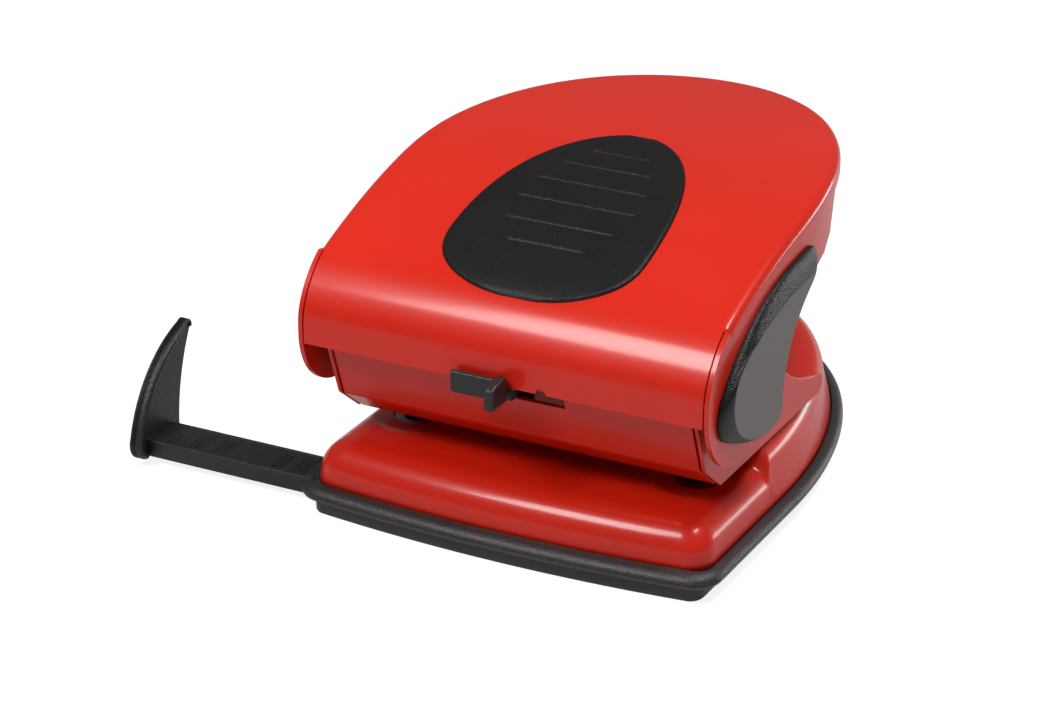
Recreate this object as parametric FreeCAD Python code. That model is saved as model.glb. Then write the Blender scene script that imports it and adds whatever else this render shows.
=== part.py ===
"""Two-hole paper punch: steel base and lever, plastic chad tray, paper guide and side caps.

Frame: millimetres, +Z up, +Y to the rear. The origin lies on the table, on the mirror plane x = 0,
under the line of the two punch pins (y = 0). The paper goes in from -Y.
"""
import FreeCAD
import Part
import math
import os

V = FreeCAD.Vector
X_DIR = V(1, 0, 0)
Z_DIR = V(0, 0, 1)

# ---------------------------------------------------------------- driving dimensions
HOLE_PITCH = 80.0            # between the two punched holes
PIN_R = 3.0                  # punch pin radius
RUNNING_GAP = 0.05           # radial clearance of every sliding or turning fit
SEAT_GAP = 0.05              # radial clearance round rivets and pressed-in dies
BODY_GAP = 0.35              # clearance between shells that come apart
FACE_GAP = 0.02              # between flat faces that are clamped together

# chad tray
SIDE_MARGIN = 18.6           # from a hole's centre to the side of the rim
RIM_FRONT_Y = -36.4
RIM_TAPER_Y = 18.0           # where the straight sides turn into the rounded tail
RIM_TAIL = 98.0              # length of the rounded tail behind that
RIM_CORNER_R = 8.0
RIM_BOW_R = 430.0            # radius of the bowed front edge
RIM_EDGE_R = 1.4
RIM_TOP_Z = 8.3
FOOT_TOP_Z = 4.6
FOOT_INSET_SIDE = 4.3
FOOT_INSET_FRONT = 2.9
TRAY_WALL = 1.9
TRAY_FLOOR = 1.6

# base plate
PLATE_INSET_SIDE = 3.5
PLATE_INSET_FRONT = 4.7
PLATE_SHEET = 1.2
PLATE_FOOT_Z = 7.25
BED_Z = 18.2
BED_EDGE_R = 8.0
PLATEAU_RISE = 4.8           # step from the paper bed up to the deck
PLATEAU_FRONT_Y = 13.0
PLATEAU_INSET = 2.6
PLATEAU_EDGE_R = 2.4
DIMPLE_R = 11.0
DIMPLE_DEPTH = 0.8

# die bushes
DIE_WALL = 2.5
DIE_LEDGE = 2.0              # flange beyond the bush
DIE_HEIGHT = 5.0
DIE_FLANGE = 1.2
DIE_LAND = 2.0               # depth of the cutting bore before it widens
DIE_RELIEF = 0.6

# punch frame
FRAME_SHEET = 1.2
FRAME_GAP = 0.1              # frame floor above the deck
CHEEK_MARGIN = 3.9           # from a cheek's outside to the side of the base plate
CHEEK_JOINT = 0.6            # open joint between the front wall and a cheek
CHEEK_TOP_R = 9.6            # rounded top of a cheek about the pivot
FRAME_FLOOR_FRONT_Y = -11.4
FRAME_FLOOR_REAR_Y = 46.0
FRAME_LEAD_Y = -20.4         # top of the slanted lead-in
FRAME_LEAD_RISE = 7.2        # height of the slanted lead-in
FRAME_WALL_ABOVE_PIVOT = 0.5
LIP_GAP = 1.91               # between the top of the front wall and the lever's lip
CHEEK_TAIL_Y = 51.2

# lever
PIVOT_Y = -18.0
PIVOT_Z = 50.0
PIVOT_R = 2.5
LEVER_SHEET = 1.2
EAR_GAP = 3.8                # between a cheek and the ear outside it
LEVER_TAPER_Y = 23.0
LEVER_TAIL = 82.4
LEVER_CORNER_R = 2.0
LIP_Y = -30.7
LIP_DROP = 3.0               # lower edge of the lip below the pivot
SLIT = 0.9                   # width of the slit between lip and ear
LIP_STRAIGHT = 4.9           # flat height of the lip
ROLL_R = 13.9                # front roll, then three flatter and flatter arcs
ROLL_END_DEG = 62.7
SHOULDER_R = 24.5
SHOULDER_END_DEG = 21.2
CROWN_R = 201.7
CROWN_END_DEG = 2.06
TAIL_R = 464.0
SKIRT_HEIGHT = 4.6           # rolled-down rim at the rear
SLIT_REAR_Y = -18.6
EAR_R = 18.0
EAR_DROP = 18.5              # flat bottom of the ears below the pivot
EAR_FLAT_END_Y = 5.0
LIP_NOTCH_X = (10.2, 13.2)
LIP_NOTCH_HEIGHT = 1.5

# palm pad
PAD_HALF_WIDTH = 27.0
PAD_CENTRE_Y = -4.0
PAD_FRONT = 18.0
PAD_REAR = 54.0
PAD_PROUD = 0.9

# side caps
CAP_GAP = 0.1
CAP_BAND = 1.6               # thickness over the full outline
CAP_FACE_PROUD = 1.1         # flat face beyond that

# presser, pins and springs
NOSE_R = 2.0
PRESSER_END_GAP = 4.0        # from each end of the presser to the cheek
PRESSER_WEB = 2.4
PRESSER_FLANGE = 1.6
PRESSER_FLANGE_REAR_Y = 14.0
PIN_TIP_RECESS = 0.1         # pin tips above the underside of the frame floor
PIN_TOP_GAP = 0.1
PIN_NOTCH_DEPTH = 1.0
BRIDGE_DROP = 9.5            # top of the guide bridge below the pivot
BRIDGE_SHEET = 1.2
BRIDGE_HALF_DEPTH = 9.0
BRIDGE_TAB_END = 3.6         # end of a bridge tab below its rivets
CLIP_THICK = 0.8
CLIP_WIDTH = 2.4
CLIP_DROP = 0.2
CLIP_FACE_GAP = 0.02
CLIP_MOUTH = 3.6
GROOVE_DEPTH = 0.6
SPRING_GAP = 0.5
SPRING_WIRE = 0.9
SPRING_END_GAP = 0.05

# rivets and washers
HEAD_THICK = 1.1
HEAD_SPREAD = 1.8            # rivet head radius over shank radius
SHANK_END = 0.4              # shank sunk into each head
FRAME_RIVET_R = 2.0
FRAME_RIVET_X = 30.0
FRAME_RIVET_YS = (26.0, 40.0)
BRIDGE_RIVET_R = 1.5
BRIDGE_RIVET_Y = 5.0
PIVOT_HEAD_R = 4.2
PIVOT_HEAD_GAP = 0.06
WASHER_R = 5.0
WASHER_GAP = 0.06

# lock slide: heights are above the pivot, depths are behind the lip
LOCK_BAR_X = (-12.0, 2.0)
LOCK_BAR_RISE = (-6.2, -0.3)
LOCK_BAR_DEPTH = (-2.7, -1.0)
LOCK_TAB_X = (0.0, 3.2)
LOCK_TAB_RISE = (-6.1, 0.6)
LOCK_TAB_DEPTH = -8.7
LOCK_STEM_X = (-9.8, 2.2)
LOCK_SLOT_X = (-10.4, 15.0)
LOCK_SLOT_RISE = (-8.7, -4.8)
LOCK_PLAY = 0.3
STEM_REACH = 2.5             # stem behind the front wall
KEEPER_SHEET = 0.8
KEEPER_BORDER = 2.5
KEEPER_FIT = 0.03

# paper guide
RAIL_Y = (-25.9, -13.3)
RAIL_Z = (2.2, 6.8)
RAIL_REACH = 46.4            # from the side of the rim to the stop
RAIL_END_X = 6.0
RAIL_GAP = 0.3
STOP_THICK = 3.5
RIB_THICK = 1.2
LEAF_X = (-46.0, -20.0)
LEAF_HALF_WIDTH = 2.5
LEAF_GAP = 0.12              # between the leaf spring and the rail

# ---------------------------------------------------------------- sizes that follow from those
RIM_HALF_WIDTH = HOLE_PITCH / 2 + SIDE_MARGIN
PLATEAU_Z = BED_Z + PLATEAU_RISE
DIE_R = PIN_R + DIE_WALL
CHEEK_OUT_X = RIM_HALF_WIDTH - PLATE_INSET_SIDE - CHEEK_MARGIN
CHEEK_IN_X = CHEEK_OUT_X - FRAME_SHEET
FRAME_WALL_HALF = CHEEK_IN_X - CHEEK_JOINT
FRAME_BOTTOM_Z = PLATEAU_Z + FRAME_GAP
FRAME_FLOOR_Z = FRAME_BOTTOM_Z + FRAME_SHEET
FRAME_LEAD_Z = FRAME_BOTTOM_Z + FRAME_LEAD_RISE
FRAME_WALL_TOP_Z = PIVOT_Z + FRAME_WALL_ABOVE_PIVOT
FRAME_WALL_TOP_Y = LIP_Y + LEVER_SHEET + LIP_GAP
LEVER_HALF_WIDTH = CHEEK_OUT_X + EAR_GAP + LEVER_SHEET
EAR_IN_X = LEVER_HALF_WIDTH - LEVER_SHEET
LIP_HALF_WIDTH = EAR_IN_X - SLIT
LIP_BOTTOM_Z = PIVOT_Z - LIP_DROP
LIP_STRAIGHT_TOP_Z = LIP_BOTTOM_Z + LIP_STRAIGHT
EAR_BOTTOM_Z = PIVOT_Z - EAR_DROP
LEVER_REAR_Y = LEVER_TAPER_Y + LEVER_TAIL
CAP_BASE_X = LEVER_HALF_WIDTH + CAP_GAP
CAP_STEP_X = CAP_BASE_X + CAP_BAND
CAP_FACE_X = CAP_STEP_X + CAP_FACE_PROUD
PRESSER_HALF_LENGTH = CHEEK_IN_X - PRESSER_END_GAP
BRIDGE_TOP_Z = PIVOT_Z - BRIDGE_DROP
BRIDGE_RIVET_Z = (FRAME_FLOOR_Z + BRIDGE_TOP_Z) / 2
PIN_TIP_Z = FRAME_BOTTOM_Z + PIN_TIP_RECESS
PIN_TOP_Z = PIVOT_Z - NOSE_R - PIN_TOP_GAP
CLIP_TOP_Z = BRIDGE_TOP_Z - BRIDGE_SHEET - CLIP_DROP
SPRING_IN_R = PIN_R + SPRING_GAP
LOCK_BAR_Y = tuple(LIP_Y + depth for depth in LOCK_BAR_DEPTH)
LOCK_BAR_Z = tuple(PIVOT_Z + rise for rise in LOCK_BAR_RISE)
LOCK_TAB_Z = tuple(PIVOT_Z + rise for rise in LOCK_TAB_RISE)
LOCK_SLOT_Z = tuple(PIVOT_Z + rise for rise in LOCK_SLOT_RISE)
RAIL_X = (-RIM_HALF_WIDTH - RAIL_REACH, RAIL_END_X)
BEYOND = 5.0                 # how far cutting tools run past what they cut
WIDE = 2 * RIM_HALF_WIDTH    # half size of tools that cut right across
HIGH = 3 * PIVOT_Z


# ---------------------------------------------------------------- shape helpers
def box(x, y, z):
    """A box from three (low, high) pairs."""
    return Part.makeBox(x[1] - x[0], y[1] - y[0], z[1] - z[0], V(x[0], y[0], z[0]))


def rod(radius, start, end):
    """A cylinder between two points."""
    axis = V(*end) - V(*start)
    return Part.makeCylinder(radius, axis.Length, V(*start), axis)


def mirrored(shape):
    """The same piece on the other side of the mirror plane."""
    return shape.mirror(V(0, 0, 0), X_DIR)


def line(a, b):
    return Part.LineSegment(a, b).toShape()


def arc(a, via, b):
    return Part.Arc(a, via, b).toShape()


def side_prism(edges, x):
    """Extrude a closed outline drawn in the YZ plane from x[0] to x[1]."""
    face = Part.Face(Part.Wire(edges))
    face.translate(V(x[0], 0, 0))
    return face.extrude(V(x[1] - x[0], 0, 0))


def side_polygon(points, x):
    """side_prism for straight edges given as (y, z) points."""
    corners = [V(0, y, z) for y, z in points]
    edges = [line(a, b) for a, b in zip(corners, corners[1:] + corners[:1])]
    return side_prism(edges, x)


def side_outline(steps, origin=(0.0, 0.0)):
    """Edges of a closed YZ outline: each step is (end,) for a line or (via, end) for an arc."""
    steps = [[V(0, origin[0] + y, origin[1] + z) for y, z in step] for step in steps]
    start = steps[-1][-1]
    edges = []
    for step in steps:
        if len(step) == 1:
            edges.append(line(start, step[0]))
        else:
            edges.append(arc(start, step[0], step[1]))
        start = step[-1]
    return edges


def plan_block(side_inset, front_inset, z, half=RIM_HALF_WIDTH, front=RIM_FRONT_Y,
               taper=RIM_TAPER_Y, tail=RIM_TAIL, corner=RIM_CORNER_R, bow_r=RIM_BOW_R):
    """Vertical block: bowed front, round front corners, straight sides and an elliptic tail."""
    w = half - side_inset
    y0 = front + front_inset
    r = max(corner - side_inset, 2.0)
    bow_y = y0 + bow_r                       # centre of the bowed front edge
    rise = math.sqrt((bow_r - r) ** 2 - (w - r) ** 2)
    yc = bow_y - rise                        # centre of each corner, tangent to bow and side
    tx = (w - r) * bow_r / (bow_r - r)
    ty = bow_y - rise * bow_r / (bow_r - r)
    lean = math.atan2(w - r, rise) / 2 + math.pi / 4
    qx = w - r + r * math.sin(lean)
    qy = yc - r * math.cos(lean)
    ellipse = Part.Ellipse(V(0, taper + tail - side_inset, 0), V(w, taper, 0), V(0, taper, 0))
    edges = [
        arc(V(-tx, ty, 0), V(0, y0, 0), V(tx, ty, 0)),
        arc(V(tx, ty, 0), V(qx, qy, 0), V(w, yc, 0)),
        line(V(w, yc, 0), V(w, taper, 0)),
        Part.Arc(ellipse, -math.pi / 2, math.pi / 2).toShape(),
        line(V(-w, taper, 0), V(-w, yc, 0)),
        arc(V(-w, yc, 0), V(-qx, qy, 0), V(-tx, ty, 0)),
    ]
    face = Part.Face(Part.Wire(Part.__sortEdges__(edges)))
    face.translate(V(0, 0, z[0]))
    return face.extrude(V(0, 0, z[1] - z[0]))


def edges_at(shape, z):
    """The edges that lie wholly at height z."""
    return [e for e in shape.Edges if abs(e.BoundBox.ZMin - z) < 1e-4 and abs(e.BoundBox.ZMax - z) < 1e-4]


def rounded_top(block, radius):
    return block.makeFillet(radius, edges_at(block, block.BoundBox.ZMax))


# ---------------------------------------------------------------- chad tray
def chad_tray():
    foot = plan_block(FOOT_INSET_SIDE, FOOT_INSET_FRONT, (0, FOOT_TOP_Z))
    rim = plan_block(0, 0, (FOOT_TOP_Z, RIM_TOP_Z))
    rim = rim.makeFillet(RIM_EDGE_R, edges_at(rim, RIM_TOP_Z) + edges_at(rim, FOOT_TOP_Z))
    pocket = plan_block(PLATE_INSET_SIDE - BODY_GAP, PLATE_INSET_FRONT - BODY_GAP,
                        (PLATE_FOOT_Z - SEAT_GAP, RIM_TOP_Z + BEYOND))
    inside = plan_block(FOOT_INSET_SIDE + TRAY_WALL, PLATE_INSET_FRONT + TRAY_WALL,
                        (TRAY_FLOOR, RIM_TOP_Z + BEYOND))
    tray = foot.fuse(rim).cut(pocket).cut(inside)
    inner_x = RIM_HALF_WIDTH - FOOT_INSET_SIDE - TRAY_WALL
    rib_x = (-inner_x - TRAY_WALL / 2, inner_x + TRAY_WALL / 2)
    rib_z = (TRAY_FLOOR / 2, RAIL_Z[1])
    gate_y = (RAIL_Y[0] - RAIL_GAP, RAIL_Y[1] + RAIL_GAP)
    front_rib = box(rib_x, (gate_y[0] - RIB_THICK, gate_y[0]), rib_z)
    rear_rib = box(rib_x, (gate_y[1], gate_y[1] + RIB_THICK), rib_z)
    gate = box((-RIM_HALF_WIDTH - BEYOND, -inner_x + BEYOND), gate_y,
               (RAIL_Z[0] - RAIL_GAP, RIM_TOP_Z + BEYOND))
    return tray.fuse(front_rib).fuse(rear_rib).cut(gate).removeSplitter()


# ---------------------------------------------------------------- base plate and dies
def base_plate():
    def body(inset, foot_z):
        bed_z = BED_Z - inset
        plateau_z = PLATEAU_Z - inset
        bed_block = plan_block(PLATE_INSET_SIDE + inset, PLATE_INSET_FRONT + inset, (foot_z, bed_z))
        bed_block = rounded_top(bed_block, BED_EDGE_R - inset)
        rear = plan_block(PLATE_INSET_SIDE + PLATEAU_INSET + inset, PLATE_INSET_FRONT + inset,
                          (bed_z - BEYOND, plateau_z))
        window = box((-WIDE, WIDE), (PLATEAU_FRONT_Y + inset, RIM_TAPER_Y + RIM_TAIL), (0, HIGH))
        rear = rear.common(window)
        rear = rounded_top(rear, max(PLATEAU_EDGE_R - inset, PLATEAU_EDGE_R / 2))
        return bed_block.fuse(rear)

    outer = body(0, PLATE_FOOT_Z)
    shell = outer.cut(body(PLATE_SHEET, PLATE_FOOT_Z - BEYOND))
    dimple_z = BED_Z - DIMPLE_DEPTH
    for side in (-1, 1):
        x = side * HOLE_PITCH / 2
        boss = rod(DIMPLE_R + PLATE_SHEET, (x, 0, dimple_z - PLATE_SHEET), (x, 0, BED_Z - PLATE_SHEET / 2))
        shell = shell.fuse(boss.common(outer))
        shell = shell.cut(rod(DIMPLE_R, (x, 0, dimple_z), (x, 0, BED_Z + BEYOND)))
        shell = shell.cut(rod(DIE_R + SEAT_GAP, (x, 0, dimple_z - BEYOND), (x, 0, BED_Z)))
    for x, y in frame_rivet_places():
        shell = shell.cut(rod(FRAME_RIVET_R, (x, y, PLATEAU_Z - BEYOND), (x, y, PLATEAU_Z + BEYOND)))
    return shell


def die(side):
    x = side * HOLE_PITCH / 2
    top = BED_Z - DIMPLE_DEPTH
    bottom = top - DIE_HEIGHT
    seat = top - PLATE_SHEET
    body = rod(DIE_R, (x, 0, bottom), (x, 0, top))
    flange = rod(DIE_R + DIE_LEDGE, (x, 0, seat - DIE_FLANGE), (x, 0, seat))
    bore = rod(PIN_R + RUNNING_GAP, (x, 0, bottom - BEYOND), (x, 0, top + BEYOND))
    relief = rod(PIN_R + DIE_RELIEF, (x, 0, bottom - BEYOND), (x, 0, top - DIE_LAND))
    return body.fuse(flange).cut(bore).cut(relief)


# ---------------------------------------------------------------- punch frame
def wall_y(z):
    """Outer face of the leaning front wall at height z."""
    slope = (FRAME_WALL_TOP_Y - FRAME_LEAD_Y) / (FRAME_WALL_TOP_Z - FRAME_LEAD_Z)
    return FRAME_LEAD_Y + slope * (z - FRAME_LEAD_Z)


def frame_rivet_places():
    return [(side * FRAME_RIVET_X, y) for side in (-1, 1) for y in FRAME_RIVET_YS]


def punch_frame():
    t = FRAME_SHEET
    root_x = CHEEK_IN_X + FRAME_SHEET / 4
    floor = box((-root_x, root_x), (FRAME_FLOOR_FRONT_Y, FRAME_FLOOR_REAR_Y), (FRAME_BOTTOM_Z, FRAME_FLOOR_Z))
    front = side_polygon([
        (FRAME_FLOOR_FRONT_Y, FRAME_BOTTOM_Z),
        (FRAME_LEAD_Y, FRAME_LEAD_Z),
        (wall_y(FRAME_WALL_TOP_Z), FRAME_WALL_TOP_Z),
        (wall_y(FRAME_WALL_TOP_Z) + t, FRAME_WALL_TOP_Z),
        (FRAME_LEAD_Y + t * 1.1, FRAME_LEAD_Z + t * 0.35),
        (FRAME_FLOOR_FRONT_Y + t * 0.5, FRAME_FLOOR_Z),
        (FRAME_FLOOR_FRONT_Y + t * 2, FRAME_FLOOR_Z),
        (FRAME_FLOOR_FRONT_Y + t * 2, FRAME_BOTTOM_Z),
    ], (-FRAME_WALL_HALF, FRAME_WALL_HALF))
    slot = box(LOCK_SLOT_X, (LIP_Y, 0), LOCK_SLOT_Z)
    frame = floor.fuse(front.cut(slot))

    top_y = CHEEK_TOP_R * 0.6
    top_rise = CHEEK_TOP_R * 0.8
    cheek_edges = side_outline([
        ((FRAME_FLOOR_REAR_Y + 2.5, FRAME_BOTTOM_Z),),
        ((CHEEK_TAIL_Y, FRAME_BOTTOM_Z + 2.2), (FRAME_FLOOR_REAR_Y + 2.2, FRAME_BOTTOM_Z + 5.9)),
        ((CHEEK_TAIL_Y - 14.9, FRAME_BOTTOM_Z + 9.3), (CHEEK_TAIL_Y - 23.4, FRAME_BOTTOM_Z + 14.2)),
        ((PIVOT_Y + 22, PIVOT_Z + 3),),
        ((PIVOT_Y + top_y, PIVOT_Z + top_rise),),
        ((PIVOT_Y - top_y, PIVOT_Z + top_rise), (PIVOT_Y - CHEEK_TOP_R, PIVOT_Z)),
        ((FRAME_LEAD_Y, FRAME_LEAD_Z),),
        ((FRAME_FLOOR_FRONT_Y, FRAME_BOTTOM_Z),),
    ])
    cheek = side_prism(cheek_edges, (CHEEK_IN_X, CHEEK_OUT_X))
    holes = [(PIVOT_R, PIVOT_Y, PIVOT_Z)]
    holes += [(BRIDGE_RIVET_R, y, BRIDGE_RIVET_Z) for y in (-BRIDGE_RIVET_Y, BRIDGE_RIVET_Y)]
    for radius, y, z in holes:
        cheek = cheek.cut(rod(radius + SEAT_GAP, (0, y, z), (WIDE, y, z)))
    frame = frame.fuse(cheek).fuse(mirrored(cheek))
    for side in (-1, 1):
        x = side * HOLE_PITCH / 2
        frame = frame.cut(rod(PIN_R + RUNNING_GAP, (x, 0, PLATEAU_Z - BEYOND), (x, 0, PLATEAU_Z + BEYOND)))
    for x, y in frame_rivet_places():
        frame = frame.cut(rod(FRAME_RIVET_R, (x, y, PLATEAU_Z - BEYOND), (x, y, PLATEAU_Z + BEYOND)))
    return frame


def frame_rivets():
    rivets = []
    head_r = FRAME_RIVET_R * HEAD_SPREAD
    low = PLATEAU_Z - PLATE_SHEET
    for x, y in frame_rivet_places():
        shank = rod(FRAME_RIVET_R - SEAT_GAP, (x, y, low - SHANK_END), (x, y, FRAME_FLOOR_Z + SHANK_END))
        top = rod(head_r, (x, y, FRAME_FLOOR_Z), (x, y, FRAME_FLOOR_Z + HEAD_THICK))
        foot = rod(head_r, (x, y, low - HEAD_THICK), (x, y, low))
        rivets.append(shank.fuse(top).fuse(foot))
    return Part.makeCompound(rivets)


# ---------------------------------------------------------------- guide bridge
def guide_bridge():
    low = BRIDGE_TOP_Z - BRIDGE_SHEET
    reach = CHEEK_IN_X - FACE_GAP
    depth = (-BRIDGE_HALF_DEPTH, BRIDGE_HALF_DEPTH)
    bridge = box((-reach, reach), depth, (low, BRIDGE_TOP_Z))
    tab = box((reach - BRIDGE_SHEET, reach), depth, (BRIDGE_RIVET_Z - BRIDGE_TAB_END, BRIDGE_TOP_Z))
    for y in (-BRIDGE_RIVET_Y, BRIDGE_RIVET_Y):
        tab = tab.cut(rod(BRIDGE_RIVET_R + SEAT_GAP, (0, y, BRIDGE_RIVET_Z), (WIDE, y, BRIDGE_RIVET_Z)))
    bridge = bridge.fuse(tab).fuse(mirrored(tab))
    for side in (-1, 1):
        x = side * HOLE_PITCH / 2
        bridge = bridge.cut(rod(PIN_R + RUNNING_GAP, (x, 0, low - BEYOND), (x, 0, BRIDGE_TOP_Z + BEYOND)))
    return bridge


def cross_rivet(radius, head_r, y, z, inner, outer):
    """A rivet along X with its heads' flat sides at inner and outer."""
    shank = rod(radius, (inner - SHANK_END, y, z), (outer + SHANK_END, y, z))
    inside = rod(head_r, (inner - HEAD_THICK, y, z), (inner, y, z))
    outside = rod(head_r, (outer, y, z), (outer + HEAD_THICK, y, z))
    return shank.fuse(inside).fuse(outside)


def bridge_rivets():
    inner = CHEEK_IN_X - FACE_GAP - BRIDGE_SHEET
    rivets = []
    for y in (-BRIDGE_RIVET_Y, BRIDGE_RIVET_Y):
        rivet = cross_rivet(BRIDGE_RIVET_R, BRIDGE_RIVET_R * HEAD_SPREAD, y, BRIDGE_RIVET_Z, inner, CHEEK_OUT_X)
        rivets += [rivet, mirrored(rivet)]
    return Part.makeCompound(rivets)


# ---------------------------------------------------------------- lever
def lever_profile(offset):
    """Top curve of the lever in the YZ plane, as edges, offset inwards by a sheet thickness."""
    y = LIP_Y
    z = LIP_STRAIGHT_TOP_Z
    angle = math.radians(90)
    edges = []
    for radius, end in ((ROLL_R, ROLL_END_DEG), (SHOULDER_R, SHOULDER_END_DEG), (CROWN_R, CROWN_END_DEG),
                        (TAIL_R, None)):
        if end is None:
            lean = y + radius * math.sin(angle) - LEVER_REAR_Y - BEYOND
            end = math.degrees(math.asin(lean / (radius - offset)))
        end = math.radians(end)
        cy = y + radius * math.sin(angle)
        cz = z - radius * math.cos(angle)

        def on(a, r=radius):
            return V(0, cy - (r - offset) * math.sin(a), cz + (r - offset) * math.cos(a))
        edges.append(arc(on(angle), on((angle + end) / 2), on(end)))
        y = cy - radius * math.sin(end)
        z = cz + radius * math.cos(end)
        angle = end
    return edges


def profile_block(offset, low, half):
    """Everything below the top curve down to z = low."""
    curve = lever_profile(offset)
    first = curve[0].Vertexes[0].Point
    last = curve[-1].Vertexes[1].Point
    if first.y > last.y:
        first, last = last, first
    edges = [line(V(0, first.y, low), first)] + curve
    edges.append(line(last, V(0, last.y, low)))
    edges.append(line(V(0, last.y, low), V(0, first.y, low)))
    return side_prism(Part.__sortEdges__(edges), (-half, half))


def lever_plan(inset):
    return plan_block(inset, 0, (0, HIGH), half=LEVER_HALF_WIDTH, front=LIP_Y - 10,
                      taper=LEVER_TAPER_Y, tail=LEVER_TAIL, corner=LEVER_CORNER_R)


def top_z(y, offset=0.0):
    """Height of the lever's top curve above y, found on its edges."""
    probe = line(V(0, y, LIP_BOTTOM_Z), V(0, y, HIGH))
    return max(probe.distToShape(e)[1][0][0].z for e in lever_profile(offset)
               if probe.distToShape(e)[0] < 1e-6)


def lever():
    shell = profile_block(0, BED_Z, WIDE).common(lever_plan(0))
    shell = shell.cut(profile_block(LEVER_SHEET, 0, WIDE).common(lever_plan(LEVER_SHEET)))
    rear_low = top_z(LEVER_REAR_Y - 3) - SKIRT_HEIGHT
    rim_start = 50.0
    rim_middle = (rim_start + LEVER_REAR_Y - 3) / 2
    below_edges = side_outline([
        ((LIP_Y - BEYOND, 0.0),),
        ((LIP_Y - BEYOND, PIVOT_Z),),
        ((LIP_Y, PIVOT_Z),),
        ((LIP_Y + EAR_R * 0.293, EAR_BOTTOM_Z + EAR_R * 0.314), (LIP_Y + EAR_R, EAR_BOTTOM_Z)),
        ((EAR_FLAT_END_Y, EAR_BOTTOM_Z),),
        ((EAR_FLAT_END_Y + 8, PIVOT_Z + 2), (EAR_FLAT_END_Y + 25, PIVOT_Z + 14.5)),
        ((rim_start - 12, PIVOT_Z + 16),),
        ((rim_start - 3.5, PIVOT_Z + 20.5), (rim_start, top_z(rim_start) - SKIRT_HEIGHT),),
        ((rim_middle, top_z(rim_middle) - SKIRT_HEIGHT), (LEVER_REAR_Y - 3, rear_low)),
        ((LEVER_REAR_Y + BEYOND, rear_low),),
        ((LEVER_REAR_Y + BEYOND, 0.0),),
    ])
    below = side_prism(below_edges, (-WIDE, WIDE))
    mouth_x = LIP_HALF_WIDTH + SLIT / 2
    mouth = box((-mouth_x, mouth_x), (LIP_Y - BEYOND, 10), (0, HIGH))
    shell = shell.cut(below.cut(mouth))
    shell = shell.cut(box((-LIP_HALF_WIDTH, LIP_HALF_WIDTH), (LIP_Y - BEYOND, 0), (0, LIP_BOTTOM_Z)))
    for x in ((LIP_HALF_WIDTH, EAR_IN_X), (-EAR_IN_X, -LIP_HALF_WIDTH)):
        shell = shell.cut(box(x, (LIP_Y - BEYOND, SLIT_REAR_Y), (0, HIGH)))
    notch = box(LIP_NOTCH_X, (LIP_Y - BEYOND, LIP_Y + BEYOND),
                (LIP_BOTTOM_Z - BEYOND, LIP_BOTTOM_Z + LIP_NOTCH_HEIGHT))
    hole = rod(PIVOT_R + RUNNING_GAP, (-WIDE, PIVOT_Y, PIVOT_Z), (WIDE, PIVOT_Y, PIVOT_Z))
    return shell.cut(notch).cut(hole)


def presser_bar():
    """Folded steel strip welded under the lever: a flange against the sheet and a rounded nose."""
    half = PRESSER_HALF_LENGTH
    under = profile_block(LEVER_SHEET, BED_Z, half)
    flange = under.cut(profile_block(LEVER_SHEET + PRESSER_FLANGE, 0, WIDE))
    flange = flange.common(box((-half, half), (-PRESSER_WEB / 2, PRESSER_FLANGE_REAR_Y), (PIVOT_Z, HIGH)))
    web_top = top_z(0.0, LEVER_SHEET) - PRESSER_FLANGE / 2
    web = box((-half, half), (-PRESSER_WEB / 2, PRESSER_WEB / 2), (PIVOT_Z, web_top))
    nose = rod(NOSE_R, (-half, 0, PIVOT_Z), (half, 0, PIVOT_Z))
    return flange.fuse(web).fuse(nose)


def half_ellipse(reach):
    """Half of an ellipse across the pad's widest line, reaching forward or back."""
    centre = V(0, PAD_CENTRE_Y, 0)
    tip = V(0, PAD_CENTRE_Y + reach, 0)
    side = V(PAD_HALF_WIDTH, PAD_CENTRE_Y, 0)
    if abs(reach) > PAD_HALF_WIDTH:
        return Part.Arc(Part.Ellipse(tip, side, centre), -math.pi / 2, math.pi / 2).toShape()
    return Part.Arc(Part.Ellipse(side, tip, centre), 0, math.pi).toShape()


def pad_outline_block():
    edges = [half_ellipse(PAD_REAR), half_ellipse(-PAD_FRONT)]
    return Part.Face(Part.Wire(edges)).extrude(V(0, 0, HIGH))


def lever_pad():
    skin = profile_block(-PAD_PROUD, BED_Z, RIM_HALF_WIDTH).cut(profile_block(0, 0, WIDE))
    return skin.common(pad_outline_block())


# ---------------------------------------------------------------- side caps
def side_cap():
    """Leaf-shaped cover: a full outline against the ear and a smaller flat face further out."""
    pivot = (PIVOT_Y, PIVOT_Z)
    base = side_outline([
        ((15.0, 18.3), (-7.0, 2.5)),
        ((-8.4, -4.5), (-0.8, -10.8)),
        ((9.5, -14.8), (21.6, -15.2)),
        ((25.2, -13.6), (25.2, -9.0)),
        ((30.5, 5.0), (45.0, 16.2)),
        ((48.4, 19.4), (42.0, 22.8)),
    ], pivot)
    face = side_outline([
        ((15.0, 14.0), (0.0, 8.6)),
        ((-4.4, 0.0), (1.0, -9.8)),
        ((10.4, -14.1), (21.4, -14.5)),
        ((24.6, -13.0), (24.5, -8.8)),
        ((29.9, 5.5), (43.6, 16.2)),
        ((43.2, 17.2), (41.0, 17.2)),
    ], pivot)
    cap = side_prism(base, (CAP_BASE_X, CAP_STEP_X)).fuse(side_prism(face, (CAP_STEP_X, CAP_FACE_X)))
    well_end = CAP_BASE_X + HEAD_THICK + BODY_GAP
    well = rod(PIVOT_HEAD_R + BODY_GAP, (0, PIVOT_Y, PIVOT_Z), (well_end, PIVOT_Y, PIVOT_Z))
    return cap.cut(well)


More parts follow.
